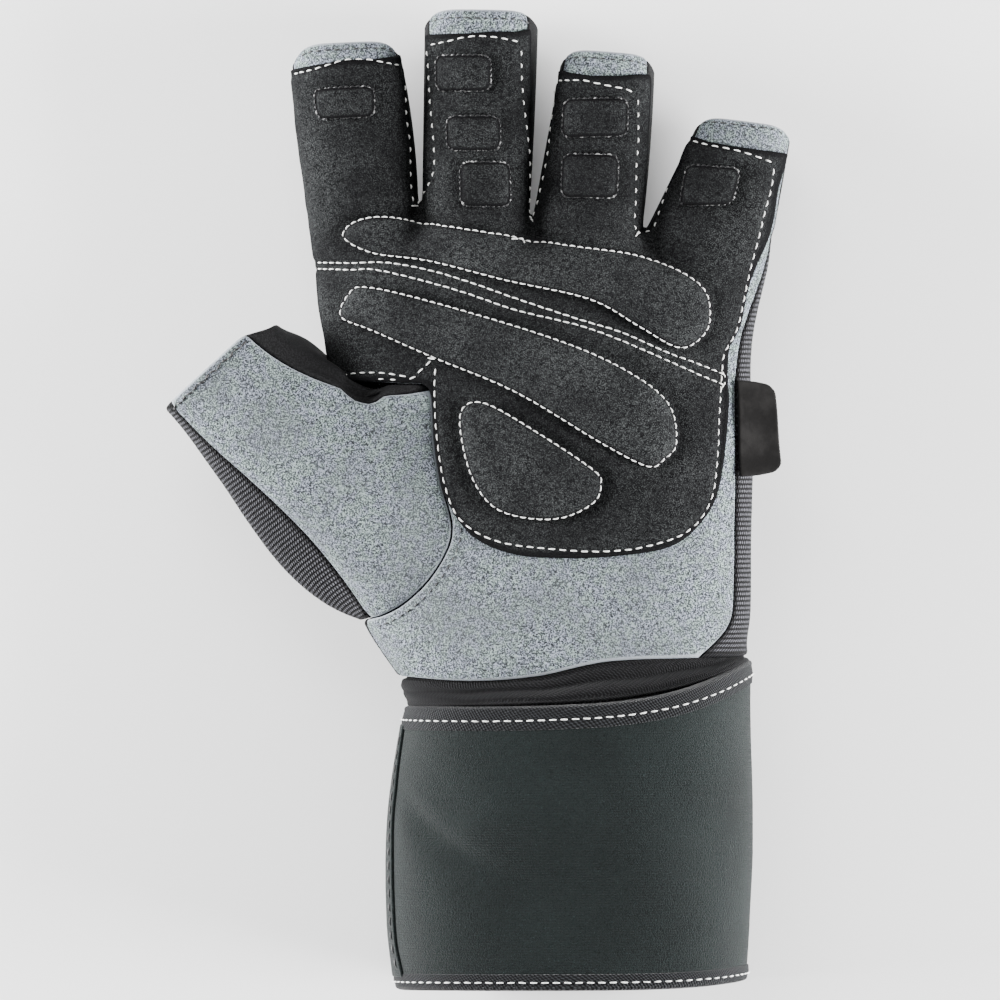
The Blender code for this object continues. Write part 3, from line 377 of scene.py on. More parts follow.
FINGER_SEAMS = {
    "index_top": palm_spots(
        (-0.544, 1.305), (-0.496, 1.314), (-0.428, 1.333), (-0.378, 1.333), (-0.343, 1.327),
        (-0.312, 1.323),
    ),
    "index_right": palm_spots(
        (-0.302, 1.305), (-0.299, 1.213), (-0.291, 1.155), (-0.29, 1.097), (-0.288, 1.054), (-0.282, 1.022),
    ),
    "middle_left": palm_spots(
        (-0.253, 1.361), (-0.249, 1.292), (-0.245, 1.232), (-0.239, 1.17), (-0.236, 1.116), (-0.241, 1.082),
        (-0.255, 1.056), (-0.266, 1.037), (-0.278, 1.023),
    ),
    "middle_top": palm_spots(
        (-0.247, 1.366), (-0.212, 1.372), (-0.165, 1.382), (-0.118, 1.383), (-0.052, 1.372),
    ),
    "middle_right": palm_spots(
        (-0.048, 1.361), (-0.047, 1.286), (-0.04, 1.217), (-0.034, 1.17), (-0.029, 1.125), (-0.026, 1.077),
        (-0.029, 1.041), (-0.031, 1.015), (-0.026, 0.996),
    ),
    "ring_left": palm_spots(
        (0.03, 1.286), (0.022, 1.247), (0.017, 1.198), (0.014, 1.155), (0.008, 1.116), (0, 1.077),
        (-0.007, 1.047), (-0.013, 1.022), (-0.026, 0.994),
    ),
    "ring_top": palm_spots(
        (0.034, 1.29), (0.055, 1.29), (0.09, 1.289), (0.117, 1.283), (0.153, 1.275), (0.18, 1.271),
        (0.197, 1.262),
    ),
    "ring_right": palm_spots(
        (0.207, 1.256), (0.207, 1.213), (0.207, 1.155), (0.203, 1.11), (0.202, 1.059), (0.201, 1.022),
        (0.199, 0.983), (0.205, 0.961),
    ),
    "pinky_left": palm_spots(
        (0.314, 1.163), (0.303, 1.144), (0.29, 1.105), (0.275, 1.067), (0.262, 1.028), (0.249, 0.991),
        (0.242, 0.972), (0.223, 0.965), (0.205, 0.961),
    ),
    "pinky_top": palm_spots((0.318, 1.163), (0.362, 1.151), (0.41, 1.142), (0.452, 1.131), (0.502, 1.113)),
}
KNOTS = palm_spots(
    (-0.28, 1.02), (-0.026, 0.992), (0.205, 0.96), (-0.242, 0.691), (0.393, 0.657), (0.393, 0.634),
    (-0.062, 0.947), (-0.044, 0.944),
)

# Two folds across the front of the wrap, in metres round from its outer end and down from its top. Each lies
# on a line through (across, down) with this slant, is wide across, and fades over tall above and below its
# middle. height is a share of the fold depth.
Fold = namedtuple("Fold", "across down slant wide middle tall height")
WRAP_FOLDS = [
    Fold(0.010, 0.019, 1.87, 0.008, 0.029, 0.013, -0.9),
    Fold(0.042, 0.032, -1.90, 0.009, 0.027, 0.009, 0.4),
]

# Lights aim at the glove. Their places and sizes are in metres. share is that of a side light's power.
Lamp = namedtuple("Lamp", "name place size share")
LAMPS = [
    Lamp("left_light", (-0.96, 0.10, 0.21), 0.6, 1.0),
    Lamp("right_light", (0.96, -0.15, 0.21), 0.6, 1.0),
    Lamp("top_light", (-0.25, 0.85, 0.95), 0.7, 0.15),
]
FLOOR_SIZE = 6.0
FLOOR_GAP = 0.0003

# Wrap sections: share of WRAP_LENGTH down from the top, middle and half width as shares of WRAP_WIDTH.
WrapSection = namedtuple("WrapSection", "down middle half")
WRAP_SECTIONS = [
    WrapSection(0.00, 0.098, 0.482),
    WrapSection(0.38, 0.080, 0.508),
    WrapSection(0.75, 0.0745, 0.5055),
    WrapSection(1.00, 0.078, 0.488),
]


# Numbers and tables
def lerp(start, end, share):
    """The value at a share of the way from start to end."""
    return start + (end - start) * share


def ease(share):
    """A share that leaves 0 and reaches 1 smoothly, held between them."""
    share = np.clip(share, 0.0, 1.0)
    return share * share * (3.0 - 2.0 * share)


def power(value, exponent):
    """A power that keeps the sign of its value."""
    return math.copysign(abs(value) ** exponent, value)


def row_at(rows, value):
    """The row of a table at a value of its first column, on a smooth curve through the rows."""
    keys = [row[0] for row in rows]
    value = min(max(value, keys[0]), keys[-1])
    place = max(0, min(len(rows) - 2, int(np.searchsorted(keys, value)) - 1))
    low, high = rows[place], rows[place + 1]
    before = rows[max(place - 1, 0)]
    after = rows[min(place + 2, len(rows) - 1)]
    width = high[0] - low[0]
    t = (value - low[0]) / width
    numbers = []
    for a, b, c, d in zip(before, low, high, after):
        rise = width * (c - a) / (high[0] - before[0])
        fall = width * (d - b) / (after[0] - low[0])
        bend = 3 * (c - b) - 2 * rise - fall
        numbers.append(b + rise * t + bend * t * t + (2 * (b - c) + rise + fall) * t ** 3)
    return type(low)(*numbers)


def smooth_between(a, b, c, d, t):
    """A place between b and c, from 0 to 1, on a smooth line through all four."""
    bend = 2 * a - 5 * b + 4 * c - d
    return 0.5 * (2 * b + (c - a) * t + bend * t * t + (3 * b - a - 3 * c + d) * t ** 3)


def curve_through(spots, steps, closed):
    """A smooth line through the spots, with this many steps between each two."""
    count = len(spots)
    points = []
    for index in range(count if closed else count - 1):
        places = [index + shift for shift in (-1, 0, 1, 2)]
        if closed:
            places = [place % count for place in places]
        near = [Vector(spots[min(max(place, 0), count - 1)]) for place in places]
        points += [smooth_between(*near, step / steps) for step in range(steps)]
    if not closed:
        points.append(Vector(spots[-1]))
    return points


def on_palm(spots):
    """Spots in metres."""
    return [Vector((spot[0] * HAND_WIDTH, spot[1] * HAND_LENGTH)) for spot in spots]


def bumps(points, size, seed):
    """Smooth noise between about -1 and 1 at each point, with lumps of about this size."""
    shift = Vector((seed * 7.3, seed * 3.1, seed * 5.7))
    return np.array([noise.noise(Vector(point) / size + shift) for point in points])


# Nets and sheets
class Net:
    """A coarse surface as points and quads, with its quads in named patches. Each point has a flow: how far
    round and how far along the cloth it lies."""

    def __init__(self):
        self.points = []
        self.flow = []
        self.patches = {}

    def add(self, point, flow=(0.0, 0.0)):
        """Adds a point and returns its number."""
        self.points.append(Vector(point))
        self.flow.append(flow)
        return len(self.points) - 1

    def strip(self, patch, first, second):
        """Quads between two lines of points."""
        quads = self.patches.setdefault(patch, [])
        for index in range(len(first) - 1):
            quads.append((first[index], first[index + 1], second[index + 1], second[index]))

    def wall(self, patch, lines, rows):
        """Quads round a ring of lines. patch gives each line's patch by its number."""
        for index, line in enumerate(lines):
            after = lines[(index + 1) % len(lines)]
            for row in range(rows):
                self.strip(patch(index), [line[row], after[row]], [line[row + 1], after[row + 1]])


class Sheet:
    """A fine surface. Its rows of values hold each point's place, normal, flow and distance from the edge."""

    def __init__(self, values, faces, kinds):
        self.values = values
        self.faces = faces
        self.kinds = kinds

    @property
    def points(self):
        return self.values[:, 0:3]

    @property
    def normals(self):
        lengths = np.linalg.norm(self.values[:, 3:6], axis=1, keepdims=True)
        return self.values[:, 3:6] / np.maximum(lengths, 1e-9)

    @property
    def flow(self):
        return self.values[:, 6:8]

    @property
    def edge(self):
        return self.values[:, 8]

    def part(self, keep):
        """The sheet of the faces whose number is kept, without the points that nothing uses."""
        faces = [self.faces[index] for index in keep]
        kinds = [self.kinds[index] for index in keep]
        used = sorted({number for face in faces for number in face})
        places = {number: place for place, number in enumerate(used)}
        return Sheet(self.values[used], [tuple(places[number] for number in face) for face in faces], kinds)

    def patch(self, kind):
        """The faces of one patch, with each point's distance from its edge."""
        part = self.part([index for index, other in enumerate(self.kinds) if other == kind])
        part.values[:, 8] = part.edge_distance()
        return part

    def rim(self):
        """The edges that only one face uses."""
        edges = {}
        for face in self.faces:
            for start, end in zip(face, face[1:] + face[:1]):
                edges[(start, end)] = True
        return [edge for edge in edges if (edge[1], edge[0]) not in edges]

    def edge_distance(self):
        """Each point's distance from the nearest edge of the sheet."""
        rim = self.rim()
        tree = KDTree(2 * len(rim))
        for index, (start, end) in enumerate(rim):
            tree.insert(self.points[start], 2 * index)
            tree.insert((self.points[start] + self.points[end]) / 2, 2 * index + 1)
        tree.balance()
        return np.array([tree.find(point)[2] for point in self.points])

    def scored(self, level, keep_low):
        """The sheet with an extra line of points at a distance from its edge. What is nearer the edge is kept
        or dropped. A point within SNAP of the line counts as on it."""
        edge = self.edge - level
        edge[np.abs(edge) < SNAP] = 0.0
        rows = list(self.values)
        crossings = {}
        faces = []
        kinds = []

        def crossing(a, b):
            key = (min(a, b), max(a, b))
            if key not in crossings:
                share = edge[a] / (edge[a] - edge[b])
                rows.append(lerp(self.values[a], self.values[b], share))
                crossings[key] = len(rows) - 1
            return crossings[key]

        for face, kind in zip(self.faces, self.kinds):
            high = [number for number in face if edge[number] > 0]
            low = [number for number in face if edge[number] < 0]
            if not low or not high:
                if high or keep_low or not low:
                    faces.append(face)
                    kinds.append(kind)
                continue
            above, below = [], []
            for a, b in zip(face, face[1:] + face[:1]):
                if edge[a] >= 0:
                    above.append(a)
                if edge[a] <= 0:
                    below.append(a)
                if edge[a] * edge[b] < 0:
                    number = crossing(a, b)
                    above.append(number)
                    below.append(number)
            for side in (above, below) if keep_low else (above,):
                if len(side) >= 3:
                    faces.append(tuple(side))
                    kinds.append(kind)
        sheet = Sheet(np.array(rows), faces, kinds)
        return sheet.part(range(len(faces)))

    def tree(self, lift=0.0):
        """The surface as a tree that rays can be cast at, lifted off along its normals."""
        points = self.points + self.normals * lift
        return BVHTree.FromPolygons([Vector(point) for point in points], self.faces)


def vectors(data, attribute):
    """The vectors of an attribute as rows of numbers."""
    numbers = np.zeros(len(data) * 3)
    data.foreach_get(attribute, numbers)
    return numbers.reshape(-1, 3)


def smoothed(net, levels):
    """The fine sheet of a net."""
    names = list(net.patches)
    quads = [quad for name in names for quad in net.patches[name]]
    marks = [index for index, name in enumerate(names) for _ in net.patches[name]]
    mesh = bpy.data.meshes.new("net")
    mesh.from_pydata(net.points, [], quads)
    mesh.polygons.foreach_set("material_index", marks)
    flow = mesh.attributes.new("flow", "FLOAT_VECTOR", "POINT")
    flow.data.foreach_set("vector", [number for u, v in net.flow for number in (u, v, 0.0)])
    holder = bpy.data.objects.new("net", mesh)
    bpy.context.scene.collection.objects.link(holder)
    subdivision = holder.modifiers.new("smooth", "SUBSURF")
    subdivision.levels = subdivision.render_levels = levels
    fine = bpy.data.meshes.new_from_object(holder.evaluated_get(bpy.context.evaluated_depsgraph_get()))
    values = np.column_stack([vectors(fine.vertices, "co"), vectors(fine.vertices, "normal"),
                              vectors(fine.attributes["flow"].data, "vector")])
    values[:, 8] = 0.0
    faces = [tuple(polygon.vertices) for polygon in fine.polygons]
    kinds = [names[polygon.material_index] for polygon in fine.polygons]
    bpy.data.objects.remove(holder)
    bpy.data.meshes.remove(mesh)
    bpy.data.meshes.remove(fine)
    return Sheet(values, faces, kinds)


def flat_rows(points):
    """Points as rows of x and y."""
    return np.array([(point[0], point[1]) for point in points])


def side_distance(flat, start, side):
    """How far each flat point lies from a straight side, given by its start and its run along each axis."""
    share = np.clip(((flat - start) @ side) / max(side @ side, 1e-15), 0.0, 1.0)
    return np.linalg.norm(flat - (start + share[:, None] * side), axis=1)


def inside_distance(points, outline):
    """How far each point (x, y) lies inside an outline, negative outside it."""
    flat = flat_rows(points)
    loop = flat_rows(outline)
    best = np.full(len(flat), np.inf)
    inside = np.zeros(len(flat), bool)
    for a, b in zip(loop, np.roll(loop, -1, axis=0)):
        best = np.minimum(best, side_distance(flat, a, b - a))
        if a[1] != b[1]:
            spans = (a[1] > flat[:, 1]) != (b[1] > flat[:, 1])
            inside ^= spans & (flat[:, 0] < a[0] + (flat[:, 1] - a[1]) / (b[1] - a[1]) * (b - a)[0])
    return np.where(inside, best, -best)


def line_distance(points, path):
    """How far each point (x, y) lies from a path."""
    flat = flat_rows(points)
    line = flat_rows(path)
    return np.min([side_distance(flat, a, b - a) for a, b in zip(line, line[1:])], axis=0)


# The hand's form
def oval(section, angle):
    """A point (x, z) of a section: an oval, flat where it would pass below what the glove lies on."""
    across = power(math.cos(angle), 2 / OVAL_POWER)
    rise = power(math.sin(angle), 2 / OVAL_POWER)
    height = section.front - section.side if rise > 0 else section.side - section.back
    return lerp(section.left, section.right, (1 + across) / 2), max(section.side + height * rise, 0.0)


def palm_section(y):
    """The palm's section at a distance along the hand, in metres."""
    row = row_at(PALM, y / HAND_LENGTH)
    return Section(y, row.left * HAND_WIDTH, row.right * HAND_WIDTH, row.side * HAND_DEPTH,
                   row.front * HAND_DEPTH, row.back * HAND_DEPTH)


def spread(section, start, end, count):
    """Points (x, z) spread evenly along a section from one angle in degrees to another."""
    fine = 90
    line = np.array([oval(section, math.radians(lerp(start, end, step / fine))) for step in range(fine + 1)])
    lengths = np.concatenate([[0.0], np.cumsum(np.linalg.norm(np.diff(line, axis=0), axis=1))])
    wanted = np.linspace(0.0, lengths[-1], count + 1)
    return np.column_stack([np.interp(wanted, lengths, line[:, 0]), np.interp(wanted, lengths, line[:, 1])])


def finger_point(finger, along, degrees):
    """A point on a finger, from 0 at its root to 1 at its tip, at an angle on its oval."""
    side = lerp(FINGER_SIDE_ROOT, FINGER_SIDE_TIP, along)
    bulge = finger.bulge * 4 * along * (1 - along)
    section = Section(
        0.0,
        lerp(finger.root_left, finger.tip_left, along) * HAND_WIDTH,
        (lerp(finger.root_right, finger.tip_right, along) + bulge) * HAND_WIDTH,
        side * HAND_DEPTH,
        lerp(finger.front_root, finger.front_tip, along) * HAND_DEPTH,
        lerp(finger.back_root, finger.back_tip, along) * HAND_DEPTH,
    )
    x, z = oval(section, math.radians(degrees))
    across = (x - section.left) / (section.right - section.left)
    root = lerp(finger.root_y_left, finger.root_y_right, across)
    tip = lerp(finger.tip_y_left, finger.tip_y_right, across)
    tip -= finger.drop * abs(2 * across - 1) ** FINGER_CORNER
    return Vector((x, lerp(root, tip, along) * HAND_LENGTH, z))


def steps_between(start, end, count):
    """Evenly spaced angles from start to end."""
    return [lerp(start, end, index / count) for index in range(count + 1)]


def wrist_y(across):
    """Where the wrist seam lies, across the hand from 0 to 1."""
    return row_at(WRIST_SEAM, across).y * HAND_LENGTH


def side_seam(y):
    """The angle in degrees of the little finger side seam on the palm's oval. It turns in at the wrist."""
    share = (y - WRIST_SEAM[-1].y * HAND_LENGTH) / (WRIST_SEAM_REACH * HAND_LENGTH)
    seam = float(np.interp(y / HAND_LENGTH, *zip(*SIDE_SEAM)))
    return seam + WRIST_SEAM_TURN * (1 - min(max(share, 0.0), 1.0)) ** 2


def palm_lines(net, roots, angles, blend):
    """Lines of points along the palm, each from the wrist seam to its root point. angles gives the first and
    last angle on the palm's oval at a distance along the hand."""
    lines = []
    left = FINGERS[0].root_left * HAND_WIDTH
    right = FINGERS[-1].root_right * HAND_WIDTH
    last = len(roots) - 1
    wrist = palm_section(0.0)
    low = spread(wrist, *angles(0.0), last)
    for column, number in enumerate(roots):
        root = net.points[number]
        across = (root.x - left) / (right - left)
        bottom = wrist_y((low[column][0] - wrist.left) / (wrist.right - wrist.left))
        line = []
        for row in range(PALM_ROWS):
            y = lerp(bottom, root.y, 1 - (1 - row / PALM_ROWS) ** PALM_CROWDING)
            section = palm_section(y)
            wide = spread(section, *angles(y), last)[column]
            fingered = np.array((lerp(section.left, section.right, across), root.z))
            place = lerp(wide, fingered, ease(1 - (root.y - y) / blend))
            line.append(net.add((place[0], y, place[1])))
        lines.append(line + [number])
    return lines


def finger_angles(finger, along):
    """The angles of the points round a finger: those of its front, right, back and left columns."""
    wraps = finger.name in ("index", "pinky")
    seam = lerp(finger.seam_front_right, finger.seam_tip_right, along)
    front = steps_between(finger.seam_front_left, seam, FRONT_COLUMNS)
    right = steps_between(seam, finger.seam_back_right, SIDE_COLUMNS)[1:-1]
    back = steps_between(finger.seam_back_right, finger.seam_back_left, FRONT_COLUMNS + 2 * wraps)
    left = steps_between(finger.seam_back_left, finger.seam_front_left - 360, SIDE_COLUMNS)[1:-1]
    if finger.name == "pinky":
        return front, [], back[1:], left
    if finger.name == "index":
        return front, right, back[:-1], []
    return front, right, back, left


def hand_net():
    """The hand and fingers as one net. Its patches are front, back and the three fourchettes."""
    net = Net()
    rings = []
    for finger in FINGERS:
        rows = []
        for step in range(FINGER_ROWS + 1):
            angles = sum(finger_angles(finger, step / FINGER_ROWS), [])
            rows.append([net.add(finger_point(finger, step / FINGER_ROWS, angle)) for angle in angles])
        rings.append((rows, *(len(columns) for columns in finger_angles(finger, 0.0))))

    front_roots = []
    back_roots = []
    for rows, front_count, right_count, back_count, left_count in rings:
        ring = rows[0] + [rows[0][0]]
        first = front_count + right_count - (right_count == 0)
        last = front_count + right_count + back_count - (left_count != 0)
        front_roots += ring[:front_count]
        back_roots = ring[first:last + 1] + back_roots
    start = FINGERS[0].seam_front_left
    end = FINGERS[0].seam_back_left
    front = palm_lines(net, front_roots, lambda y: (start, side_seam(y)), FRONT_BLEND)
    back = palm_lines(net, back_roots, lambda y: (side_seam(y), end), BACK_BLEND)
    back[0] = front[-1]
    back[-1] = front[0]

    for row in range(PALM_ROWS + 1):
        travelled = 0.0
        for before, line in zip([None] + back, back):
            if before:
                travelled += (net.points[line[row]] - net.points[before[row]]).length
            net.flow[line[row]] = (travelled, net.points[line[row]].y)
    for rows, *_ in rings:
        for ring in rows[1:]:
            for number, root in zip(ring, rows[0]):
                net.flow[number] = (net.flow[root][0], net.points[number].y)

    for patch, lines in (("front", front), ("back", back)):
        for row in range(PALM_ROWS):
            net.strip(patch, [line[row] for line in lines], [line[row + 1] for line in lines])
    gussets = []
    for index, (rows, front_count, right_count, back_count, left_count) in enumerate(rings):
        edge = front_count - 1
        turn = front_count + right_count
        finish = turn + back_count
        for lower, upper in zip(rows, rows[1:]):
            low = lower + [lower[0]]
            high = upper + [upper[0]]
            net.strip("front", low[:front_count], high[:front_count])
            if right_count:
                net.strip("fourchette_%d" % index, low[edge:turn + 1], high[edge:turn + 1])
                net.strip("back", low[turn:finish], high[turn:finish])
            else:
                net.strip("back", low[edge:finish], high[edge:finish])
            if left_count:
                net.strip("fourchette_%d" % (index - 1), low[finish - 1:], high[finish - 1:])
            else:
                net.strip("back", low[finish - 1:], high[finish - 1:])
        ring = rows[0] + [rows[0][0]]
        gussets.append((ring[edge:turn + 1], ring[finish - 1:]))
    for index in range(len(FINGERS) - 1):
        near = gussets[index][0]
        far = gussets[index + 1][1][::-1]
        net.strip("fourchette_%d" % index, near[::-1], far[::-1])
    return net


@cache
def hand_sheet():
    """The hand's fine surface."""
    return smoothed(hand_net(), 2)


# The thumb's form
@cache
def thumb_base():
    """The line where the thumb meets the hand: its points, and the settings of the thumb line from each."""
    tree = hand_sheet().tree()
    starts = []
    for line in THUMB:
        x, y = line.x * HAND_WIDTH, line.y * HAND_LENGTH
        origin, way = {
            "front": ((x, y, 1.0), (0, 0, -1)),
            "back": ((x, y, -1.0), (0, 0, 1)),
            "side": ((-1.0, y, palm_section(y).side), (1, 0, 0)),
        }[line.face]
        starts.append(tree.ray_cast(Vector(origin), Vector(way))[0])
    points = [tree.find_nearest(point)[0] for point in curve_through(starts, THUMB_STEPS, True)]
    settings = []
    count = len(THUMB)
    for index in range(count):
        rows = []
        for place in range(index - 1, index + 3):
            row = np.array(THUMB[place % count][4:], float)
            row[0] -= 360 * (place // count)
            rows.append(row)
        settings += [smooth_between(*rows, step / THUMB_STEPS) for step in range(THUMB_STEPS)]
    return points, settings


def thumb_turn():
    """The number of the first base point that lies on the back of the hand."""
    return next(index for index, line in enumerate(THUMB) if line.face == "back") * THUMB_STEPS


def thumb_point(start, setting, t):
    """A point on a thumb line, from 0 at its base to 1 at the thumb's opening."""
    tip_angle, heading, rise, reach, run = setting
    centre = Vector((THUMB_TIP_X * HAND_WIDTH, THUMB_TIP_Y * HAND_LENGTH, THUMB_TIP_Z * HAND_DEPTH))
    way = math.radians(THUMB_HEADING)
    ahead = Vector((math.cos(way), math.sin(way), 0.0))
    across = Vector((ahead.y, -ahead.x, 0.0))
    angle = math.radians(tip_angle)
    wide = power(math.cos(angle), 2 / OVAL_POWER)
    end = centre + across * wide * THUMB_TIP_WIDTH / 2
    end.z += power(math.sin(angle), 2 / OVAL_POWER) * THUMB_TIP_DEPTH / 2
    end -= ahead * THUMB_SETBACK * float(ease((wide - THUMB_SETBACK_FROM) / (1 - THUMB_SETBACK_FROM)))
    turn, climb = math.radians(heading), math.radians(rise)
    away = Vector((math.cos(turn) * math.cos(climb), math.sin(turn) * math.cos(climb), math.sin(climb)))
    first = start + away * reach * HAND_LENGTH
    second = end - ahead * run * HAND_LENGTH
    u = 1 - t
    return start * u ** 3 + first * 3 * u * u * t + second * 3 * u * t * t + end * t ** 3


@cache
def thumb_sheet():
    """The thumb's fine surface. Its patches are panel, gusset and back."""
    net = Net()
    steps = [row / THUMB_ROWS for row in range(THUMB_ROWS + 1)]
    lines = [[net.add(thumb_point(*base, t)) for t in steps] for base in zip(*thumb_base())]
    count = len(lines)
    for row in range(THUMB_ROWS + 1):
        around = 0.0
        for step in range(count):
            index = (thumb_turn() + step) % count
            number = lines[index][row]
            if step:
                around += (net.points[number] - net.points[lines[index - 1][row]]).length
            along = (net.points[number] - net.points[lines[index][0]]).length
            net.flow[number] = (around, along)
    net.wall(lambda index: THUMB[index // THUMB_STEPS].piece, lines, THUMB_ROWS)
    return smoothed(net, 1)


def thumb_hole(face):
    """The outline of the thumb's hole as seen from the front or the back."""
    flat = [point.to_2d() for point in thumb_base()[0]]
    turn = thumb_turn() - THUMB_STEPS
    outside = [Vector((-HAND_WIDTH * 0.75, flat[place].y)) for place in (turn, 0)]
    if face == "front":
        return flat[:turn + 1] + outside
    return flat[turn:] + flat[:1] + outside[::-1]


# The wrap's form. Its height runs along the hand.
def wrap_top(angle):
    """The height of the wrap's top edge, which climbs on the little finger side."""
    return WRAP_TOP + WRAP_RISE * ((1 + math.cos(angle)) / 2) ** WRAP_RISE_POWER


def wrap_bottom(angle=0.0, rise=0.0):
    """The height of the wrap's bottom edge, level or with this rise at the little finger side."""
    climb = rise * ((1 + math.cos(angle)) / 2) ** BOTTOM_RISE_POWER
    return WRAP_TOP - WRAP_LENGTH + climb + BOTTOM_BULGE * max(math.sin(angle), 0.0) * (rise > 0)


def worn_bottom(angle):
    """The height of the wrap's bottom edge as it is worn."""
    return wrap_bottom(angle, BOTTOM_RISE)


def wrist_point(angle, y, depth):
    """A point of the wrap at an angle, a distance along the hand and a depth below its outer face."""
    row = row_at(WRAP_SECTIONS, (WRAP_TOP - y) / WRAP_LENGTH)
    half_height = (WRAP_DEPTH + WRAP_FLAT) / 2
    across = power(math.cos(angle), 2 / OVAL_POWER)
    rise = power(math.sin(angle), 2 / OVAL_POWER)
    x = row.middle * WRAP_WIDTH + (row.half * WRAP_WIDTH - depth) * across
    z = WRAP_DEPTH - half_height + (half_height - depth) * rise
    return Vector((x, y, max(z, depth, 0.0)))


def layer_step():
    """How far the inner turn of the wrap lies below the outer one."""
    return WRAP_WALL + 2 * (BINDING_THICKNESS + LAYER_GAP) + LAYER_GAP


def turn_depth(turn):
    """How deep the wrap's outer face lies after a turn in degrees from its outer end."""
    return layer_step() * float(ease((turn - UNDER_TURN) / UNDER_RUN))


def wrap_angle(turn):
    """The angle round the wrist of a turn in degrees from the wrap's outer end."""
    return math.radians(180 - turn)


def wrist_place():
    """Where the glove's own origin, the middle of the wrist seam, lies in the frame."""
    low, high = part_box("wrap_bottom_binding")
    lip = wrap_bottom() + BINDING_HEIGHT
    middle = (wrist_point(0.0, lip, 0.0).x + wrist_point(math.pi, lip, 0.0).x) / 2
    return Vector(((low.x + high.x) / 2 - middle, low.y - wrap_bottom(), 0.0))


# Shader nodes
def arithmetic(operation, reflected=False):
    """A method that adds a Math node for a value and another."""
    def method(self, other):
        first, second = (other, self) if reflected else (self, other)
        return self.maths(operation, first, second)
    return method


class Wire:
    """A value in a shader. Arithmetic on it adds Math nodes."""

    __add__ = arithmetic("ADD")
    __radd__ = arithmetic("ADD", reflected=True)
    __sub__ = arithmetic("SUBTRACT")
    __rsub__ = arithmetic("SUBTRACT", reflected=True)
    __mul__ = arithmetic("MULTIPLY")
    __rmul__ = arithmetic("MULTIPLY", reflected=True)
    __truediv__ = arithmetic("DIVIDE")
    __rtruediv__ = arithmetic("DIVIDE", reflected=True)
    __pow__ = arithmetic("POWER")
    __rpow__ = arithmetic("POWER", reflected=True)
    most = arithmetic("MAXIMUM")

    def __init__(self, shader, socket):
        self.shader = shader
        self.socket = socket

    def maths(self, operation, first, second=0.0):
        """The result of a Math node."""
        return self.shader.node("ShaderNodeMath", {"operation": operation}, {0: first, 1: second})

    def sine(self):
        """Its sine."""
        return self.maths("SINE", self)

    def fraction(self):
        """What is left of it after whole numbers."""
        return self.maths("FRACT", self)

    def whole(self):
        """The whole number below it."""
        return self.maths("FLOOR", self)

    def between(self, low, high):
        """How far it lies from low to high, from 0 to 1."""
        return self.shader.node("ShaderNodeMapRange", {"interpolation_type": "SMOOTHSTEP"},
                                {"Value": self, "From Min": low, "From Max": high})


class Shader:
    """A material and the nodes in it."""

    def __init__(self, name):
        self.material = bpy.data.materials.new(name)
        self.material.use_nodes = True
        self.tree = self.material.node_tree
        self.surface = self.tree.nodes["Principled BSDF"]

    def join(self, value, socket):
        """Links a value to a socket, or sets the socket to a plain number, colour or vector."""
        if isinstance(value, Wire):
            self.tree.links.new(value.socket, socket)
        elif socket.type == "RGBA":
            socket.default_value = (*value[:3], 1.0)
        else:
            socket.default_value = value

    def node(self, kind, settings=None, sockets=None, output=0):
        """Adds a node with its settings and sockets, and gives one of its outputs."""
        made = self.tree.nodes.new(kind)
        for name, value in (settings or {}).items():
            setattr(made, name, value)
        for name, value in (sockets or {}).items():
            self.join(value, made.inputs[name])
        return Wire(self, made.outputs[output])

    def places(self):
        """Where a point lies in space, in metres."""
        return self.node("ShaderNodeTexCoord", output="Object")

    def flow(self, name="flow"):
        """How far round and along the cloth a point lies, or how far from the piece's edge, in metres."""
        vector = self.node("ShaderNodeUVMap", {"uv_map": name})
        split = self.node("ShaderNodeSeparateXYZ", sockets={"Vector": vector})
        return split, Wire(self, split.socket.node.outputs["Y"])

    def speckle(self, size, detail=2.0, rough=0.6):
        """Noise from 0 to 1 with grains of about this size in metres."""
        sockets = {"Vector": self.places(), "Scale": 1 / size, "Detail": detail, "Roughness": rough}
        return self.node("ShaderNodeTexNoise", sockets=sockets)

    def mix(self, share, first, second):
        """A colour between two colours."""
        return self.node("ShaderNodeMix", {"data_type": "RGBA"}, {0: share, 6: first, 7: second}, output=2)

    def bump(self, height, depth, strength=1.0):
        """Feeds the surface's normal with a height from 0 to 1 that stands for a depth in metres."""
        sockets = {"Strength": strength, "Distance": depth, "Height": height}
        self.join(self.node("ShaderNodeBump", sockets=sockets), self.surface.inputs["Normal"])

    def finish(self, colour, roughness, sheen=0.0, specular=0.5, spread=0.4):
        """Sets the surface's colour and roughness, and its even values."""
        self.join(colour, self.surface.inputs["Base Color"])
        self.join(roughness, self.surface.inputs["Roughness"])
        self.surface.inputs["Sheen Weight"].default_value = sheen
        self.surface.inputs["Sheen Roughness"].default_value = spread
        self.surface.inputs["Specular IOR Level"].default_value = specular
        return self.material


def shade(colour, factor):
    """A colour made darker or lighter."""
    return tuple(min(1.0, channel * factor) for channel in colour[:3]) + (1.0,)


def tint(name):
    """A colour of the glove, as it is set in the scene."""
    return tuple(getattr(bpy.context.scene.glove_colours, name))


def sizes():
    """The scene's size settings."""
    return bpy.context.scene.glove_sizes


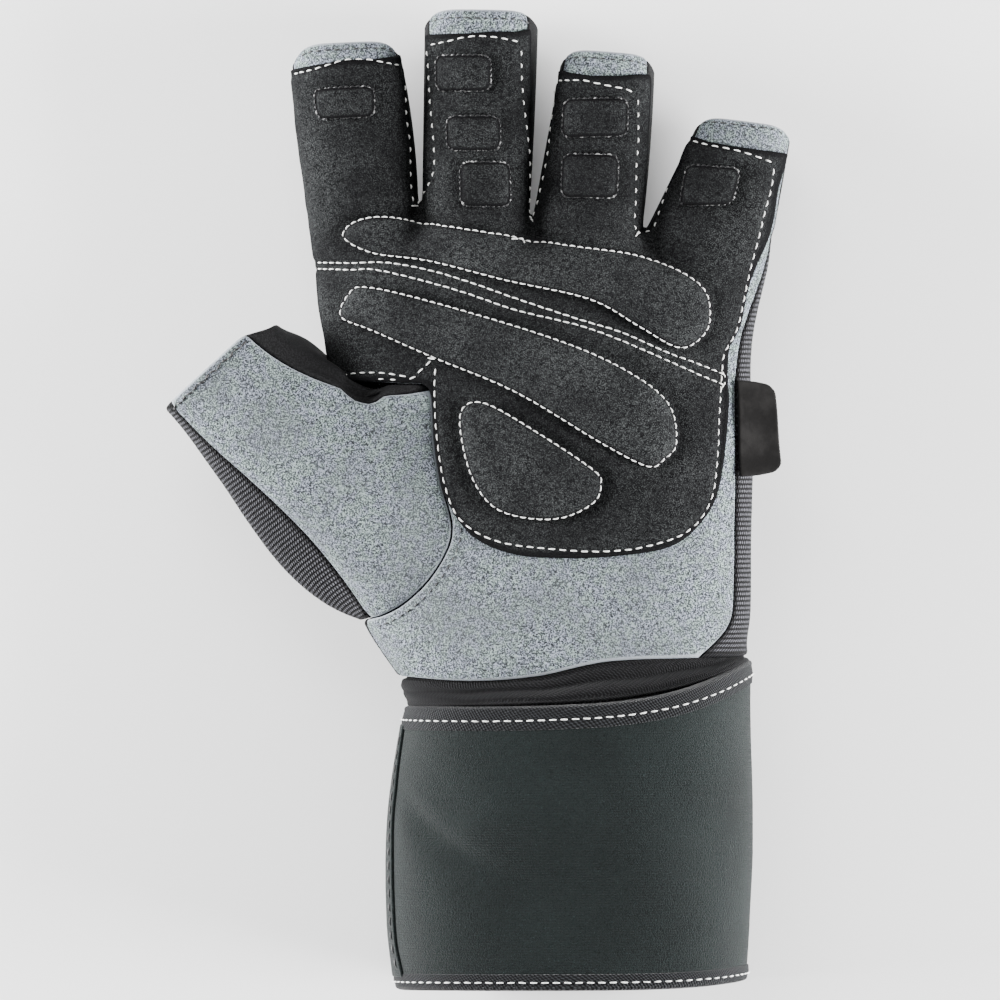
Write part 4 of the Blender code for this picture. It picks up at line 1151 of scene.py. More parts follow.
@cache
def grey_suede():
    """Napped grey suede: close speckle of pale and dark fibre ends, with faint cool and warm clouds, and a
    painted highlight along its edges.
    """
    shader = Shader("grey_suede")
    base = tint("grey_suede")
    fine = shader.speckle(0.00036, 1.0, 0.6).between(0.44, 0.60)
    # Painted highlight: a lighter band along the piece's edge, where the rolled edge catches the light.
    cut = shader.flow("edge")[0].between(0.0002, 0.0007)
    coarse = shader.speckle(0.0008, 2.0, 0.6).between(0.40, 0.66)
    cloud = shader.speckle(0.0022, 2.0, 0.5).between(0.38, 0.62)
    broad = shader.speckle(0.022, 2.0, 0.5).between(0.30, 0.70)
    grain = fine * 0.80 + coarse * 0.20
    cool = shader.mix(grain, shade(base, 0.08), (base[0] * 2.30, base[1] * 2.35, base[2] * 2.60))
    warm = shader.mix(grain, shade(base, 0.14), (base[0] * 2.25, base[1] * 2.60, base[2] * 2.30))
    speckled = shader.mix(cloud, cool, warm)
    shader.bump(grain, 0.00026, 0.7)
    clouded = shader.mix(broad * 0.40, speckled, shade(base, 0.62))
    return shader.finish(shader.mix(cut, shade(base, 2.1), clouded), grain * 0.1 + 0.85, 0.05, 0.10)


def black_nap(name, base, pale, rim):
    """Napped black suede with this share of pale fibre ends, and painted shade that darkens it along a rim of
    this width.
    """
    shader = Shader(name)
    fine = shader.speckle(0.00032, 1.0, 0.6).between(0.48, 0.68)
    coarse = shader.speckle(0.0010, 3.0, 0.6).between(0.34, 0.70)
    broad = shader.speckle(0.013, 3.0, 0.6).between(0.30, 0.72)
    grain = fine * 0.7 + coarse * 0.3
    # Painted shade: the suede darkens towards its edge, where it meets grooves, seams and the layer below.
    inner = shader.flow("edge")[0].between(rim * 0.4, rim)
    shown = grain * (0.40 + broad * 0.60) * (0.12 + inner * 0.88)
    colour = shader.mix(shown * pale, shade(base, 0.4), (0.16, 0.172, 0.172, 1.0))
    shader.bump(grain, 0.00020, 0.7)
    return shader.finish(colour, 0.95 - grain * 0.08, 0.0, 0.05)


@cache
def black_suede():
    """The palm overlay's suede."""
    return black_nap("black_suede", tint("black_suede"), 0.26, 0.0019)


@cache
def pad_suede():
    """The pads' suede: a greyer, paler copy of the black suede, a painted highlight on the raised pads."""
    # Painted highlight: lighter base and more pale fibres than the overlay, for the light the raised pads
    # catch.
    return black_nap("pad_suede", shade(tint("black_suede"), 1.3), 0.36, 0.0011)


@cache
def finger_pad_suede():
    """The finger pads' suede."""
    return black_nap("finger_pad_suede", tint("black_suede"), 0.24, 0.0009)


@cache
def ribbed_weave():
    """Coarse ribbed cloth: rows of small raised pills, each row half a pill on from the last, darkened near
    its edge by painted shadow.
    """
    shader = Shader("ribbed_weave")
    base = tint("ribbed_weave")
    around, along = shader.flow()
    row = along / PILL_ROW
    shift = (row.whole() * 0.5).fraction()
    pill = (around / PILL_WIDTH + shift).fraction()
    # Painted shadow: the cloth darkens towards its edge, beside the seam with the suede.
    seam = shader.flow("edge")[0].between(0.0004, 0.0018)
    hill = (pill * math.pi).sine()
    ridge = (row.fraction() * math.pi).sine()
    height = hill.most(0.0) ** 0.7 * ridge.most(0.0) ** 0.8
    lint = shader.speckle(0.0004, 2.0, 0.6)
    tone = (height * (0.4 + lint * 1.2)).between(0.35, 1.15) * (0.12 + seam * 0.88)
    colour = shader.mix(tone, shade(base, 0.08), shade(base, 4.1))
    shader.bump(height, 0.00045, 0.9)
    return shader.finish(colour, 0.75, 0.0, 0.12)


@cache
def stretch_cloth():
    """Smooth black stretch cloth with a faint knit."""
    shader = Shader("stretch_cloth")
    base = tint("stretch_cloth")
    grain = shader.speckle(0.0004, 2.0, 0.6)
    colour = shader.mix(grain.between(0.35, 0.75), shade(base, 0.4), shade(base, 1.9))
    shader.bump(grain, 0.00012, 0.6)
    return shader.finish(colour, 0.75, 0.0, 0.10)


@cache
def wrap_cloth():
    """Brushed loop cloth over thin foam: fine rows of knit, small pale specks and broad faint clouds."""
    shader = Shader("wrap_cloth")
    base = tint("wrap_cloth")
    around, along = shader.flow()
    rows = (along / LOOP_ROW * math.tau).sine() * 0.5 + 0.5
    columns = (around / LOOP_WIDTH * math.tau).sine() * 0.5 + 0.5
    grain = shader.speckle(0.00032, 2.0, 0.6).between(0.3, 0.72)
    cloud = shader.speckle(0.021, 2.0, 0.5).between(0.3, 0.7)
    specks = shader.speckle(0.00042, 0.0, 0.5).between(0.72, 0.84)
    tone = rows * 0.18 + columns * 0.06 + grain * 0.58 + cloud * 0.18
    colour = shader.mix(tone, shade(base, 0.25), shade(base, 1.8))
    colour = shader.mix(specks * 0.5, colour, shade(base, 4.0))
    shader.bump(grain * 0.7 + rows * 0.3, 0.00030, 0.8)
    return shader.finish(colour, 0.95, 0.18, 0.03, 0.46)


def twill(name, slant, pale, sheen):
    """Woven tape with ribs of this slant, with crowns this many times as pale as its colour, and a sheen."""
    shader = Shader(name)
    base = tint(name)
    around, along = shader.flow()
    ribs = ((around + along * slant) / RIB_PITCH * math.tau).sine() * 0.5 + 0.5
    cross = ((around * 0.35 - along) / (RIB_PITCH * 0.8) * math.tau).sine() * 0.5 + 0.5
    lint = shader.speckle(0.0004, 2.0, 0.6)
    height = ribs * 0.6 + cross * 0.4
    tone = (height * (0.5 + lint)).between(0.28, 0.92)
    colour = shader.mix(tone, shade(base, 0.2), shade(base, pale))
    shader.bump(height, 0.0003, 0.9)
    return shader.finish(colour, 0.8, sheen, 0.08)


@cache
def binding_tape():
    """The tape round the wrap's edges."""
    return twill("binding_tape", 0.9, 3.6, 0.10)


@cache
def knit_band():
    """The wrist band's knit."""
    return twill("knit_band", -0.7, 2.4, 0.02)


@cache
def hook_tape():
    """The hidden closure."""
    shader = Shader("hook_tape")
    dots = shader.node("ShaderNodeTexVoronoi", {"feature": "F1"}, {"Vector": shader.places(), "Scale": 900.0})
    colour = shader.mix(dots.between(0.1, 0.6), (0.05, 0.05, 0.05, 1.0), (0.008, 0.008, 0.008, 1.0))
    shader.bump(1.0 - dots, 0.0003)
    return shader.finish(colour, 0.6)


@cache
def tab_leather():
    """Smooth dark leather of the pull tab, a little rubbed."""
    shader = Shader("tab_leather")
    base = tint("tab_leather")
    grain = shader.speckle(0.0014, 4.0, 0.6)
    rubbed = shader.speckle(0.006, 3.0, 0.6).between(0.4, 0.75)
    colour = shader.mix(rubbed, shade(base, 0.75), shade(base, 1.6))
    shader.bump(grain, 0.00012, 0.6)
    return shader.finish(colour, 0.5 + rubbed * 0.2, 0.0, 0.12)


def thread(name, roughness):
    """Twisted sewing thread."""
    shader = Shader(name)
    base = tint(name)
    wave = shader.speckle(0.0004, 2.0, 0.6)
    colour = shader.mix(wave.between(0.3, 0.7), shade(base, 0.72), shade(base, 1.1))
    shader.bump(wave, 0.00008, 0.8)
    return shader.finish(colour, roughness, 0.1, 0.4)


@cache
def white_thread():
    """White thread."""
    return thread("white_thread", 0.6)


@cache
def black_thread():
    """Black thread."""
    return thread("black_thread", 0.28)


@cache
def flecked_thread():
    """Black thread with a few pale specks painted on as glints of light."""
    shader = Shader("flecked_thread")
    # Painted highlight: sparse pale specks stand for glints of light on the thread.
    glint = shader.speckle(0.0016, 1.0, 0.5).between(0.58, 0.64)
    colour = shader.mix(glint, tint("black_thread"), (0.20, 0.20, 0.20))
    return shader.finish(colour, 0.35, 0.0, 0.4)


# Making pieces
def add_piece(name, points, faces, material, slot, node=None, **layers):
    """Makes a piece of the glove in the frame's place. It stands for the node that it names."""
    mesh = bpy.data.meshes.new(name)
    place = np.array(wrist_place())
    mesh.from_pydata((np.asarray(points) + place).tolist(), [], [list(face) for face in faces])
    mesh.materials.append(material)
    mesh.shade_smooth()
    corners = np.zeros(len(mesh.loops), int)
    mesh.loops.foreach_get("vertex_index", corners)
    for title, numbers in layers.items():
        mesh.uv_layers.new(name=title).data.foreach_set("uv", np.asarray(numbers)[corners].ravel())
    piece = bpy.data.objects.new(name, mesh)
    bpy.context.scene.collection.objects.link(piece)
    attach(piece, "root")
    if node:
        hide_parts(node)
    return piece


def closed_piece(name, sheet, top, bottom, material, slot, node):
    """A piece between two heights above a sheet, closed along its edge."""
    count = len(sheet.points)
    top = np.broadcast_to(top, count)[:, None]
    bottom = np.broadcast_to(bottom, count)[:, None]
    points = np.vstack([sheet.points + sheet.normals * top, sheet.points + sheet.normals * bottom])
    points[:, 2] = np.maximum(points[:, 2], 0.0)
    faces = list(sheet.faces)
    faces += [tuple(number + count for number in reversed(face)) for face in sheet.faces]
    faces += [(end, start, start + count, end + count) for start, end in sheet.rim()]
    flow = np.vstack([sheet.flow] * 2)
    edge = np.column_stack([np.tile(sheet.edge, 2)] * 2)
    return add_piece(name, points, faces, material, slot, node, flow=flow, edge=edge)


def rolled(sheet, wall):
    """How far the top of a piece with this wall falls near its edge, as a quarter round."""
    near = np.clip(1 - sheet.edge / EDGE_ROLL, 0.0, 1.0)
    return wall * EDGE_DROP * (1 - np.sqrt(1 - near ** 2))


def ringed(sheet, width, shares):
    """A sheet with extra lines of points at shares of a width from its edge."""
    for share in shares:
        sheet = sheet.scored(width * share, True)
    return sheet


def edged(sheet):
    """A sheet with the extra lines of points that a rounded edge needs."""
    return ringed(sheet, EDGE_ROLL, (0.12, 0.4, 1.0))


def trimmed(sheet, field):
    """A sheet without the places where a field is negative."""
    values = sheet.values.copy()
    values[:, 8] = np.minimum(values[:, 8], field)
    return Sheet(values, sheet.faces, sheet.kinds).scored(0.0, False)


def holed(sheet, face):
    """The front or back of the hand without the thumb's hole."""
    return trimmed(sheet, -inside_distance(sheet.points, thumb_hole(face)))


@cache
def palm_sheet():
    """The palm and finger fronts, with the thumb's hole cut out."""
    return edged(holed(hand_sheet().patch("front"), "front"))


@cache
def overlay_sheet():
    """The black overlay's outline cut from the palm."""
    sheet = hand_sheet().patch("front")
    outline = on_palm(curve_through(OVERLAY_OUTLINE, 4, False)) + on_palm(OVERLAY_TIPS)
    return edged(holed(trimmed(sheet, inside_distance(sheet.points, outline)), "front"))


def finger_pad(name):
    """A finger pad's outline, with its corners rounded."""
    corners = on_palm(FINGER_PADS[name])
    outline = []
    for before, corner, after in zip(corners[-1:] + corners, corners, corners[1:] + corners[:1]):
        start = corner + (before - corner).normalized() * FINGER_PAD_CORNER
        end = corner + (after - corner).normalized() * FINGER_PAD_CORNER
        shares = (0.0, 0.2, 0.4, 0.6, 0.8, 1.0)
        outline += [start.lerp(corner, t).lerp(corner.lerp(end, t), t) for t in shares]
    return outline


@cache
def pad_outlines():
    """The outlines of the palm pads and the finger pads."""
    outlines = {name: on_palm(curve_through(spots, 5, True)) for name, spots in PALM_PADS.items()}
    outlines.update({name: finger_pad(name) for name in FINGER_PADS})
    return outlines


def stitch_grooves(points):
    """How deep the overlay is drawn in at its rows of stitches."""
    depth = sizes().groove_depth
    drop = np.zeros(len(points))
    for spots in [*OVERLAY_ROWS.values(), *FINGER_SEAMS.values()]:
        away = line_distance(points, on_palm(curve_through(spots, 4, False)))
        drop = np.maximum(drop, depth * np.exp(-(away / GROOVE_WIDTH) ** 2))
    for outline in pad_outlines().values():
        away = np.abs(inside_distance(points, outline))
        drop = np.maximum(drop, PAD_GROOVE * depth * np.exp(-(away / (2 * GROOVE_WIDTH)) ** 2))
    return drop


def creases(points):
    """The gentle unevenness of the palm's leather: broad lumps, and cross folds below the fingers."""
    flat = np.array(points) * np.array((1.0, 1.0, 0.4))
    broad = bumps(flat, 0.014, 1) * 0.00022
    stretched = flat * np.array((0.45, 1.6, 1.0))
    folds = bumps(stretched, 0.007, 2) * 0.00018
    return broad + folds


def overlay_heights(sheet):
    """The top of the overlay above the palm's form."""
    top = LAYER_GAP + OVERLAY_THICKNESS + creases(sheet.points) - stitch_grooves(sheet.points)
    return top - rolled(sheet, OVERLAY_THICKNESS)


def pad_form(name):
    """How high a pad rises, and over what width from its edge."""
    if name in FINGER_PADS:
        return FINGER_PAD_RISE, FINGER_PAD_SHOULDER
    return sizes().pad_rise, sizes().pad_shoulder


@cache
def pad_sheet(name):
    """A palm pad's or finger pad's outline cut from the palm, with its normals turned towards straight up."""
    sheet = hand_sheet().patch("front")
    outline = pad_outlines()[name]
    field = inside_distance(sheet.points, outline)
    inner = [max(field[number] for number in face) for face in sheet.faces]
    sheet = sheet.part([index for index, most in enumerate(inner) if most > -PAD_MARGIN])
    sheet.values[:, 8] = inside_distance(sheet.points, outline)
    sheet.values[:, 3:6] = lerp(sheet.values[:, 3:6], (0.0, 0.0, 1.0), PAD_UPRIGHT)
    return ringed(sheet.scored(0.0, False), pad_form(name)[1], (0.04, 0.12, 0.25, 0.45, 0.75))


def pad_heights(name, sheet):
    """The top of a pad above the palm's form."""
    rise, shoulder = pad_form(name)
    near = np.clip(1 - sheet.edge / shoulder, 0.0, 1.0)
    lumps = 1 + 0.10 * bumps(sheet.points, 0.011, 5)
    return OVERLAY_THICKNESS + 2 * LAYER_GAP + rise * (0.06 + 0.94 * np.sqrt(1 - near ** 2) * lumps)


def soft_edges(piece, width, degrees):
    """Rounds the edges of a piece that are sharper than an angle."""
    bevel = piece.modifiers.new("soft edge", "BEVEL")
    bevel.width = width
    bevel.segments = 3
    bevel.angle_limit = math.radians(degrees)


# Operators
class GLOVE_OT_palm(bpy.types.Operator):
    """Make the grey suede palm and the black overlay"""

    bl_idname = "glove.palm"
    bl_label = "Palm"

    def execute(self, context):
        sheet = palm_sheet()
        top = np.minimum(0.6 * creases(sheet.points) - rolled(sheet, SUEDE_WALL), LAYER_GAP)
        closed_piece("palm_suede_leather", sheet, top, -SUEDE_WALL, grey_suede(), "grey_suede", "palm_suede")
        sheet = overlay_sheet()
        closed_piece("palm_overlay_leather", sheet, overlay_heights(sheet), LAYER_GAP * 0.5, black_suede(),
                     "black_suede", "palm_overlay")
        return {"FINISHED"}


class GLOVE_OT_pads(bpy.types.Operator):
    """Make the pads of the palm and fingers"""

    bl_idname = "glove.pads"
    bl_label = "Pads"

    def execute(self, context):
        for name in pad_outlines():
            sheet = pad_sheet(name)
            suede = finger_pad_suede() if name in FINGER_PADS else pad_suede()
            top, seat = pad_heights(name, sheet), OVERLAY_THICKNESS * PAD_SEAT
            pad = closed_piece(name + "_leather", sheet, top, seat, suede, "black_suede", name)
        return {"FINISHED"}


class GLOVE_OT_back(bpy.types.Operator):
    """Make the ribbed back and the cloth between the fingers"""

    bl_idname = "glove.back"
    bl_label = "Back"

    def execute(self, context):
        sheet = edged(holed(hand_sheet().patch("back"), "back"))
        top = bumps(sheet.points, 0.016, 3) * 0.0003 - rolled(sheet, WOVEN_WALL)
        closed_piece("back_panel_weave", sheet, top, -WOVEN_WALL, ribbed_weave(), "ribbed_weave",
                     "back_panel")
        for index, gap in enumerate(("index_middle", "middle_ring", "ring_pinky")):
            strip = edged(hand_sheet().patch("fourchette_%d" % index))
            closed_piece("fourchette_%s_cloth" % gap, strip, -rolled(strip, STRETCH_WALL), -STRETCH_WALL,
                         stretch_cloth(), "stretch_cloth", "fourchette_" + gap)
        return {"FINISHED"}


def near_spot(points, spot, size, power_across=2):
    """1 at a spot of the palm, falling to 0 over a size across and along."""
    away = (points[:, :2] - np.array(on_palm([spot])[0])) / size
    return np.exp(-away[:, 0] ** power_across - away[:, 1] ** 2)


class GLOVE_OT_thumb(bpy.types.Operator):
    """Make the thumb's suede panel, its side strip and its ribbed back"""

    bl_idname = "glove.thumb"
    bl_label = "Thumb"

    def execute(self, context):
        pieces = (("panel", grey_suede, "grey_suede", PANEL_LIFT, 0.00035),
                  ("gusset", stretch_cloth, "stretch_cloth", 0.0, 0.0001),
                  ("back", ribbed_weave, "ribbed_weave", 0.0, 0.00035))
        for patch, material, slot, lift, lump in pieces:
            sheet = thumb_sheet().patch(patch)
            sheet.values[:, 1] -= WEB_NOTCH_DEPTH * near_spot(sheet.points, WEB_NOTCH, WEB_NOTCH_SIZE, 4)
            sheet = edged(sheet)
            top = lift + bumps(sheet.points, 0.013, 4) * lump - rolled(sheet, SUEDE_WALL)
            if patch == "gusset":
                top = top - WEB_DIP_DEPTH * near_spot(sheet.points, WEB_DIP, WEB_DIP_SIZE)
            if patch == "panel":
                lip = np.exp(-((sheet.edge - WEB_LIP_IN) / WEB_LIP_WIDTH) ** 2)
                top = top + WEB_LIP * lip * near_spot(sheet.points, WEB_DIP, WEB_LIP_SIZE)
            closed_piece("thumb_%s_cloth" % patch, sheet, top, -SUEDE_WALL, material(), slot,
                         "thumb_" + patch)
        return {"FINISHED"}


def band_depth(angle):
    """How deep the band lies below the wrap's outer face at an angle, under one turn of the wrap or two."""
    degrees = math.degrees(angle)
    if degrees > 180 - UNDER_TURN:
        inner_turn = layer_step() * float(ease((degrees - INNER_END) / INNER_END_RUN))
    else:
        inner_turn = turn_depth(180 - degrees)
    return inner_turn + layer_step()


def under_palm(angle, y, depth):
    """A point below the palm's form at an angle, a distance along the hand and a depth."""
    row = palm_section(max(y, 0.0))
    section = Section(y, row.left + depth, row.right - depth, row.side, row.front - depth, row.back + depth)
    x, z = oval(section, angle)
    return Vector((x, y, z))


def band_line(angle):
    """The band's line at an angle: from inside the wrap, over its top edge and in under the hand's edge."""
    tucked = WOVEN_WALL + BAND_CLEARANCE
    seam = wrist_y((1 + power(math.cos(angle), 2 / OVAL_POWER)) / 2)
    top = wrap_top(angle) + LAYER_GAP
    start = top + BAND_SHELF
    shown = seam - top
    high = max(seam, top + BAND_STEP * 2.5)
    side = math.cos(angle) ** 2
    slide = noise.noise(Vector((3 * math.cos(angle), 3 * math.sin(angle), 2.0)))
    free = float(ease(shown / BAND_TUCK)) * (0.2 + 0.8 * max(math.sin(angle), 0.0) ** 2)
    heights = (WRAP_TOP - BAND_LENGTH, top - BAND_STEP, start)
    spots = [wrist_point(angle, y, band_depth(angle)) for y in heights]
    for step in range(BAND_ROWS + 1):
        share = step / BAND_ROWS
        fold = math.sin(math.tau * (BAND_FOLDS * share + 0.35 * slide))
        crease = free * BAND_ROLL * (0.5 + 0.5 * fold) ** 2
        y = lerp(start, high, share) - BAND_DROOP * side * max(1 - 8 * share, 0.0)
        swell = float(ease((seam - y) / BAND_TURN_IN))
        reach = (y - top) / max(shown, BAND_STEP / 2)
        ring = wrist_point(angle, y, BAND_LIP - BAND_BULGE * side + crease)
        hand = under_palm(angle, y, tucked - swell * (tucked - crease))
        spots.append(ring.lerp(hand, float(ease(0.05 + 1.3 * reach))))
    return spots + [under_palm(angle, high + BAND_TUCK, tucked)]


class GLOVE_OT_band(bpy.types.Operator):
    """Make the knit band between the hand and the wrap"""

    bl_idname = "glove.band"
    bl_label = "Wrist band"

    def execute(self, context):
        net = Net()
        lines = []
        for index in range(BAND_COLUMNS):
            angle = math.pi - 2 * math.pi * index / BAND_COLUMNS
            spots = band_line(angle)
            travelled = 0.0
            line = []
            for before, spot in zip(spots[:1] + spots, spots):
                travelled += (spot - before).length
                line.append(net.add(spot, (angle * WRAP_WIDTH / 2, travelled)))
            lines.append(line)
        net.wall(lambda index: "band", lines, len(lines[0]) - 1)
        sheet = smoothed(net, 1)
        unevenness = bumps(sheet.points, 0.009, 6) * 0.0002
        closed_piece("wrist_band_knit", sheet, unevenness, -BAND_WALL, knit_band(), "knit_band", "wrist_band")
        return {"FINISHED"}


def sweep(name, profile, material, slot, node=None, start=0.0, end=WRAP_TURN, slant=None):
    """A piece that follows the wrap round the wrist. profile gives its section at an angle as a loop of
    (y, depth), with the depth below the wrap's outer face. slant scales a point's turn by its y."""
    count = max(2, round((end - start) / WRAP_STEP))
    points, faces, flow = [], [], []
    size = 0
    for index in range(count + 1):
        turn = lerp(start, end, index / count)
        loop = profile(wrap_angle(turn))
        size = len(loop)
        for y, depth in loop:
            turned = turn * slant(y) if slant else turn
            points.append(tuple(swayed(turned, y, depth + turn_depth(turned))))
            flow.append((math.radians(turned) * WRAP_WIDTH / 2, y + depth))
    for ring in range(count):
        for index in range(size):
            a = ring * size + (index - 1) % size
            b = ring * size + index
            faces.append((a, b, b + size, a + size))
    faces.append(tuple(range(size)))
    faces.append(tuple(reversed(range(count * size, (count + 1) * size))))
    piece = add_piece(name, points, faces, material, slot, node, flow=flow)
    form = bmesh.new()
    form.from_mesh(piece.data)
    bmesh.ops.recalc_face_normals(form, faces=form.faces)
    form.to_mesh(piece.data)
    form.free()
    piece.data.set_sharp_from_angle(angle=math.radians(50))
    return piece


def swayed(turn, y, depth):
    """A point of the wrap at a turn, with its soft folds."""
    place = wrist_point(wrap_angle(turn), y, depth)
    out = place - Vector((WRAP_SECTIONS[0].middle * WRAP_WIDTH, y, WRAP_DEPTH / 2))
    place += out.normalized() * wrap_folds(turn, y)
    place.z = max(place.z, 0.0)
    return place


def hem_slant(y):
    """How far round the hem's inner edge lies at a height, as a share of HEM_TURN."""
    return float(np.interp((WRAP_TOP - y) / WRAP_LENGTH, HEM_DOWN, HEM_SHARE))


def wrap_folds(turn, y):
    """How far the wrap stands out at a turn and a height: soft dents, and slanting folds across the front."""
    turn %= 360
    depth = sizes().fold_depth * float(ease((turn - FOLD_START) / FOLD_FADE) * ease((360 - turn) / FOLD_FADE))
    across = math.radians(turn) * WRAP_WIDTH / 2
    down = WRAP_TOP - y
    free = 0.25 + 0.75 * math.sin(math.pi * min(max(down / WRAP_LENGTH, 0.0), 1.0))
    height = 0.8 * noise.noise(Vector(((across * 0.8 + y * 1.1) / 0.030, y / 0.090, 3.0)))
    height += 0.3 * noise.noise(Vector((across / 0.024, y / 0.020, 8.0)))
    for fold in WRAP_FOLDS:
        off = (across - fold.across - (down - fold.down) * fold.slant) / fold.wide
        height += fold.height * math.exp(-off ** 2 - ((down - fold.middle) / fold.tall) ** 2)
    return depth * free * height


def slab(high, low, rows, outer, inner):
    """A flat section as a loop of (y, depth), from a high to a low edge and an outer to an inner depth."""
    down = steps_between(high, low, rows)
    return [(y, outer) for y in down] + [(y, inner) for y in reversed(down)]


def wrap_profile(angle):
    """The wrap's own section: a wall between its two bindings."""
    outer = BINDING_THICKNESS * 0.5
    return slab(wrap_top(angle) - BINDING_THICKNESS, worn_bottom(angle) + BINDING_THICKNESS, WRAP_ROWS, outer,
                outer + WRAP_WALL + BINDING_THICKNESS)


def hem_profile(angle):
    """The folded hem at the wrap's outer end."""
    return slab(wrap_top(angle) - TAPE_HEIGHT * 0.8, worn_bottom(angle) + BINDING_HEIGHT * 0.8, HEM_ROWS,
                -HEM_RISE, BINDING_THICKNESS)


def hook_profile(angle):
    """The hidden closure, between the wrap's two turns."""
    return slab(wrap_top(angle) - HOOK_PATCH_MARGIN, wrap_bottom() + HOOK_PATCH_MARGIN, HOOK_PATCH_ROWS,
                WRAP_WALL + 2 * BINDING_THICKNESS, layer_step() - LAYER_GAP)


def binding_profile(edge, inward, height):
    """A folded strip round an edge of the wrap. inward is -1 below a top edge and 1 above a bottom edge."""
    inner = WRAP_WALL + 2 * BINDING_THICKNESS
    middle = inner / 2
    loop = [(edge + inward * height, BINDING_THICKNESS * 0.4), (edge + inward * height * 0.97, 0.0),
            (edge + inward * height * 0.6, -0.0002), (edge + inward * height * 0.25, 0.0001)]
    for step in range(7):
        turn = math.pi * step / 6
        loop.append((edge + inward * middle * 0.55 * (1 - math.sin(turn)), middle * (1 - math.cos(turn))))
    loop += [(edge + inward * height * 0.6, inner + 0.0001), (edge + inward * height, inner)]
    return loop


class GLOVE_OT_wrap(bpy.types.Operator):
    """Make the wrist wrap, the tape round its edges and the hidden closure"""

    bl_idname = "glove.wrap"
    bl_label = "Wrist wrap"

    def execute(self, context):
        sweep("wrist_wrap_cloth", wrap_profile, wrap_cloth(), "wrap_cloth", "wrist_wrap")
        for name, edge, inward, height in (("wrap_top_binding", wrap_top, -1, TAPE_HEIGHT),
                                           ("wrap_bottom_binding", worn_bottom, 1, BINDING_HEIGHT)):
            sweep(name + "_tape", lambda angle: binding_profile(edge(angle), inward, height), binding_tape(),
                  "binding_tape", name)
        hem = sweep("wrap_end_hem", hem_profile, wrap_cloth(), "wrap_cloth", None, 0.5, HEM_TURN, hem_slant)
        soft_edges(hem, HEM_RISE * 0.8, 60)
        sweep("hook_patch_tape", hook_profile, hook_tape(), "hook_tape", "hook_patch", *HOOK_PATCH_TURN)
        return {"FINISHED"}


class GLOVE_OT_tab(bpy.types.Operator):
    """Make the pull tab at the little finger side"""

    bl_idname = "glove.tab"
    bl_label = "Pull tab"

    def execute(self, context):
        tree = hand_sheet().tree()
        ends = []
        for shift in (-0.5, 0.5):
            spot = Vector((TAB_X * HAND_WIDTH, TAB_Y * HAND_LENGTH + shift * TAB_LENGTH, 1.0))
            ends.append(tree.ray_cast(spot, Vector((0, 0, -1)))[0])
        place = (ends[0] + ends[1]) / 2 + Vector((0, 0, LAYER_GAP))
        slope = math.atan2(ends[1].z - ends[0].z, TAB_LENGTH)
        turn = Matrix.Rotation(math.radians(TAB_LEAN), 4, "Y") @ Matrix.Rotation(slope, 4, "X")
        form = bmesh.new()
        bmesh.ops.create_grid(form, x_segments=14, y_segments=28, size=0.5)
        straight = Vector((TAB_REACH - TAB_CORNER, TAB_LENGTH / 2 - TAB_CORNER))
        for corner in form.verts:
            x, y = corner.co.x + 0.5, corner.co.y
            corner.co = Vector((x * TAB_REACH, y * TAB_LENGTH, 0.0))
            over = Vector((corner.co.x - straight.x, abs(corner.co.y) - straight.y))
            if over.x > 0 and over.y > 0:
                over *= max(over) / over.length
                corner.co.x = straight.x + over.x
                corner.co.y = math.copysign(straight.y + over.y, corner.co.y)
            corner.co.x *= 1 - TAB_TAPER * (corner.co.y / TAB_LENGTH + 0.5)
            corner.co.y *= 1 - TAB_NARROWING * x * x
            corner.co.z = TAB_WAVE * math.sin(y * 7.0) + TAB_CURL * x * x
        top = bmesh.ops.extrude_face_region(form, geom=list(form.faces))
        raised = [item for item in top["geom"] if isinstance(item, bmesh.types.BMVert)]
        bmesh.ops.translate(form, verts=raised, vec=(0, 0, TAB_THICKNESS))
        bmesh.ops.recalc_face_normals(form, faces=form.faces)
        bmesh.ops.transform(form, matrix=Matrix.Translation(place) @ turn, verts=form.verts)
        form.verts.ensure_lookup_table()
        points = [tuple(corner.co) for corner in form.verts]
        faces = [tuple(corner.index for corner in face.verts) for face in form.faces]
        form.free()
        tab = add_piece("pull_tab_leather", points, faces, tab_leather(), "tab_leather", "pull_tab")
        soft_edges(tab, TAB_EDGE, 50)
        return {"FINISHED"}


# Stitches
def evenly(path, pitch):
    """Points along a path, this far apart, with the direction there."""
    line = np.array([tuple(point) for point in path])
    lengths = np.concatenate([[0.0], np.cumsum(np.linalg.norm(np.diff(line, axis=0), axis=1))])
    count = max(1, int(lengths[-1] / pitch))
    spots = []
    for index in range(count):
        along = (index + 0.5) * lengths[-1] / count
        ends = [Vector([np.interp(along + shift * pitch / 2, lengths, line[:, axis]) for axis in range(3)])
                for shift in (-0.5, 0.5)]
        spots.append(((ends[0] + ends[1]) / 2, (ends[1] - ends[0]).normalized()))
    return spots


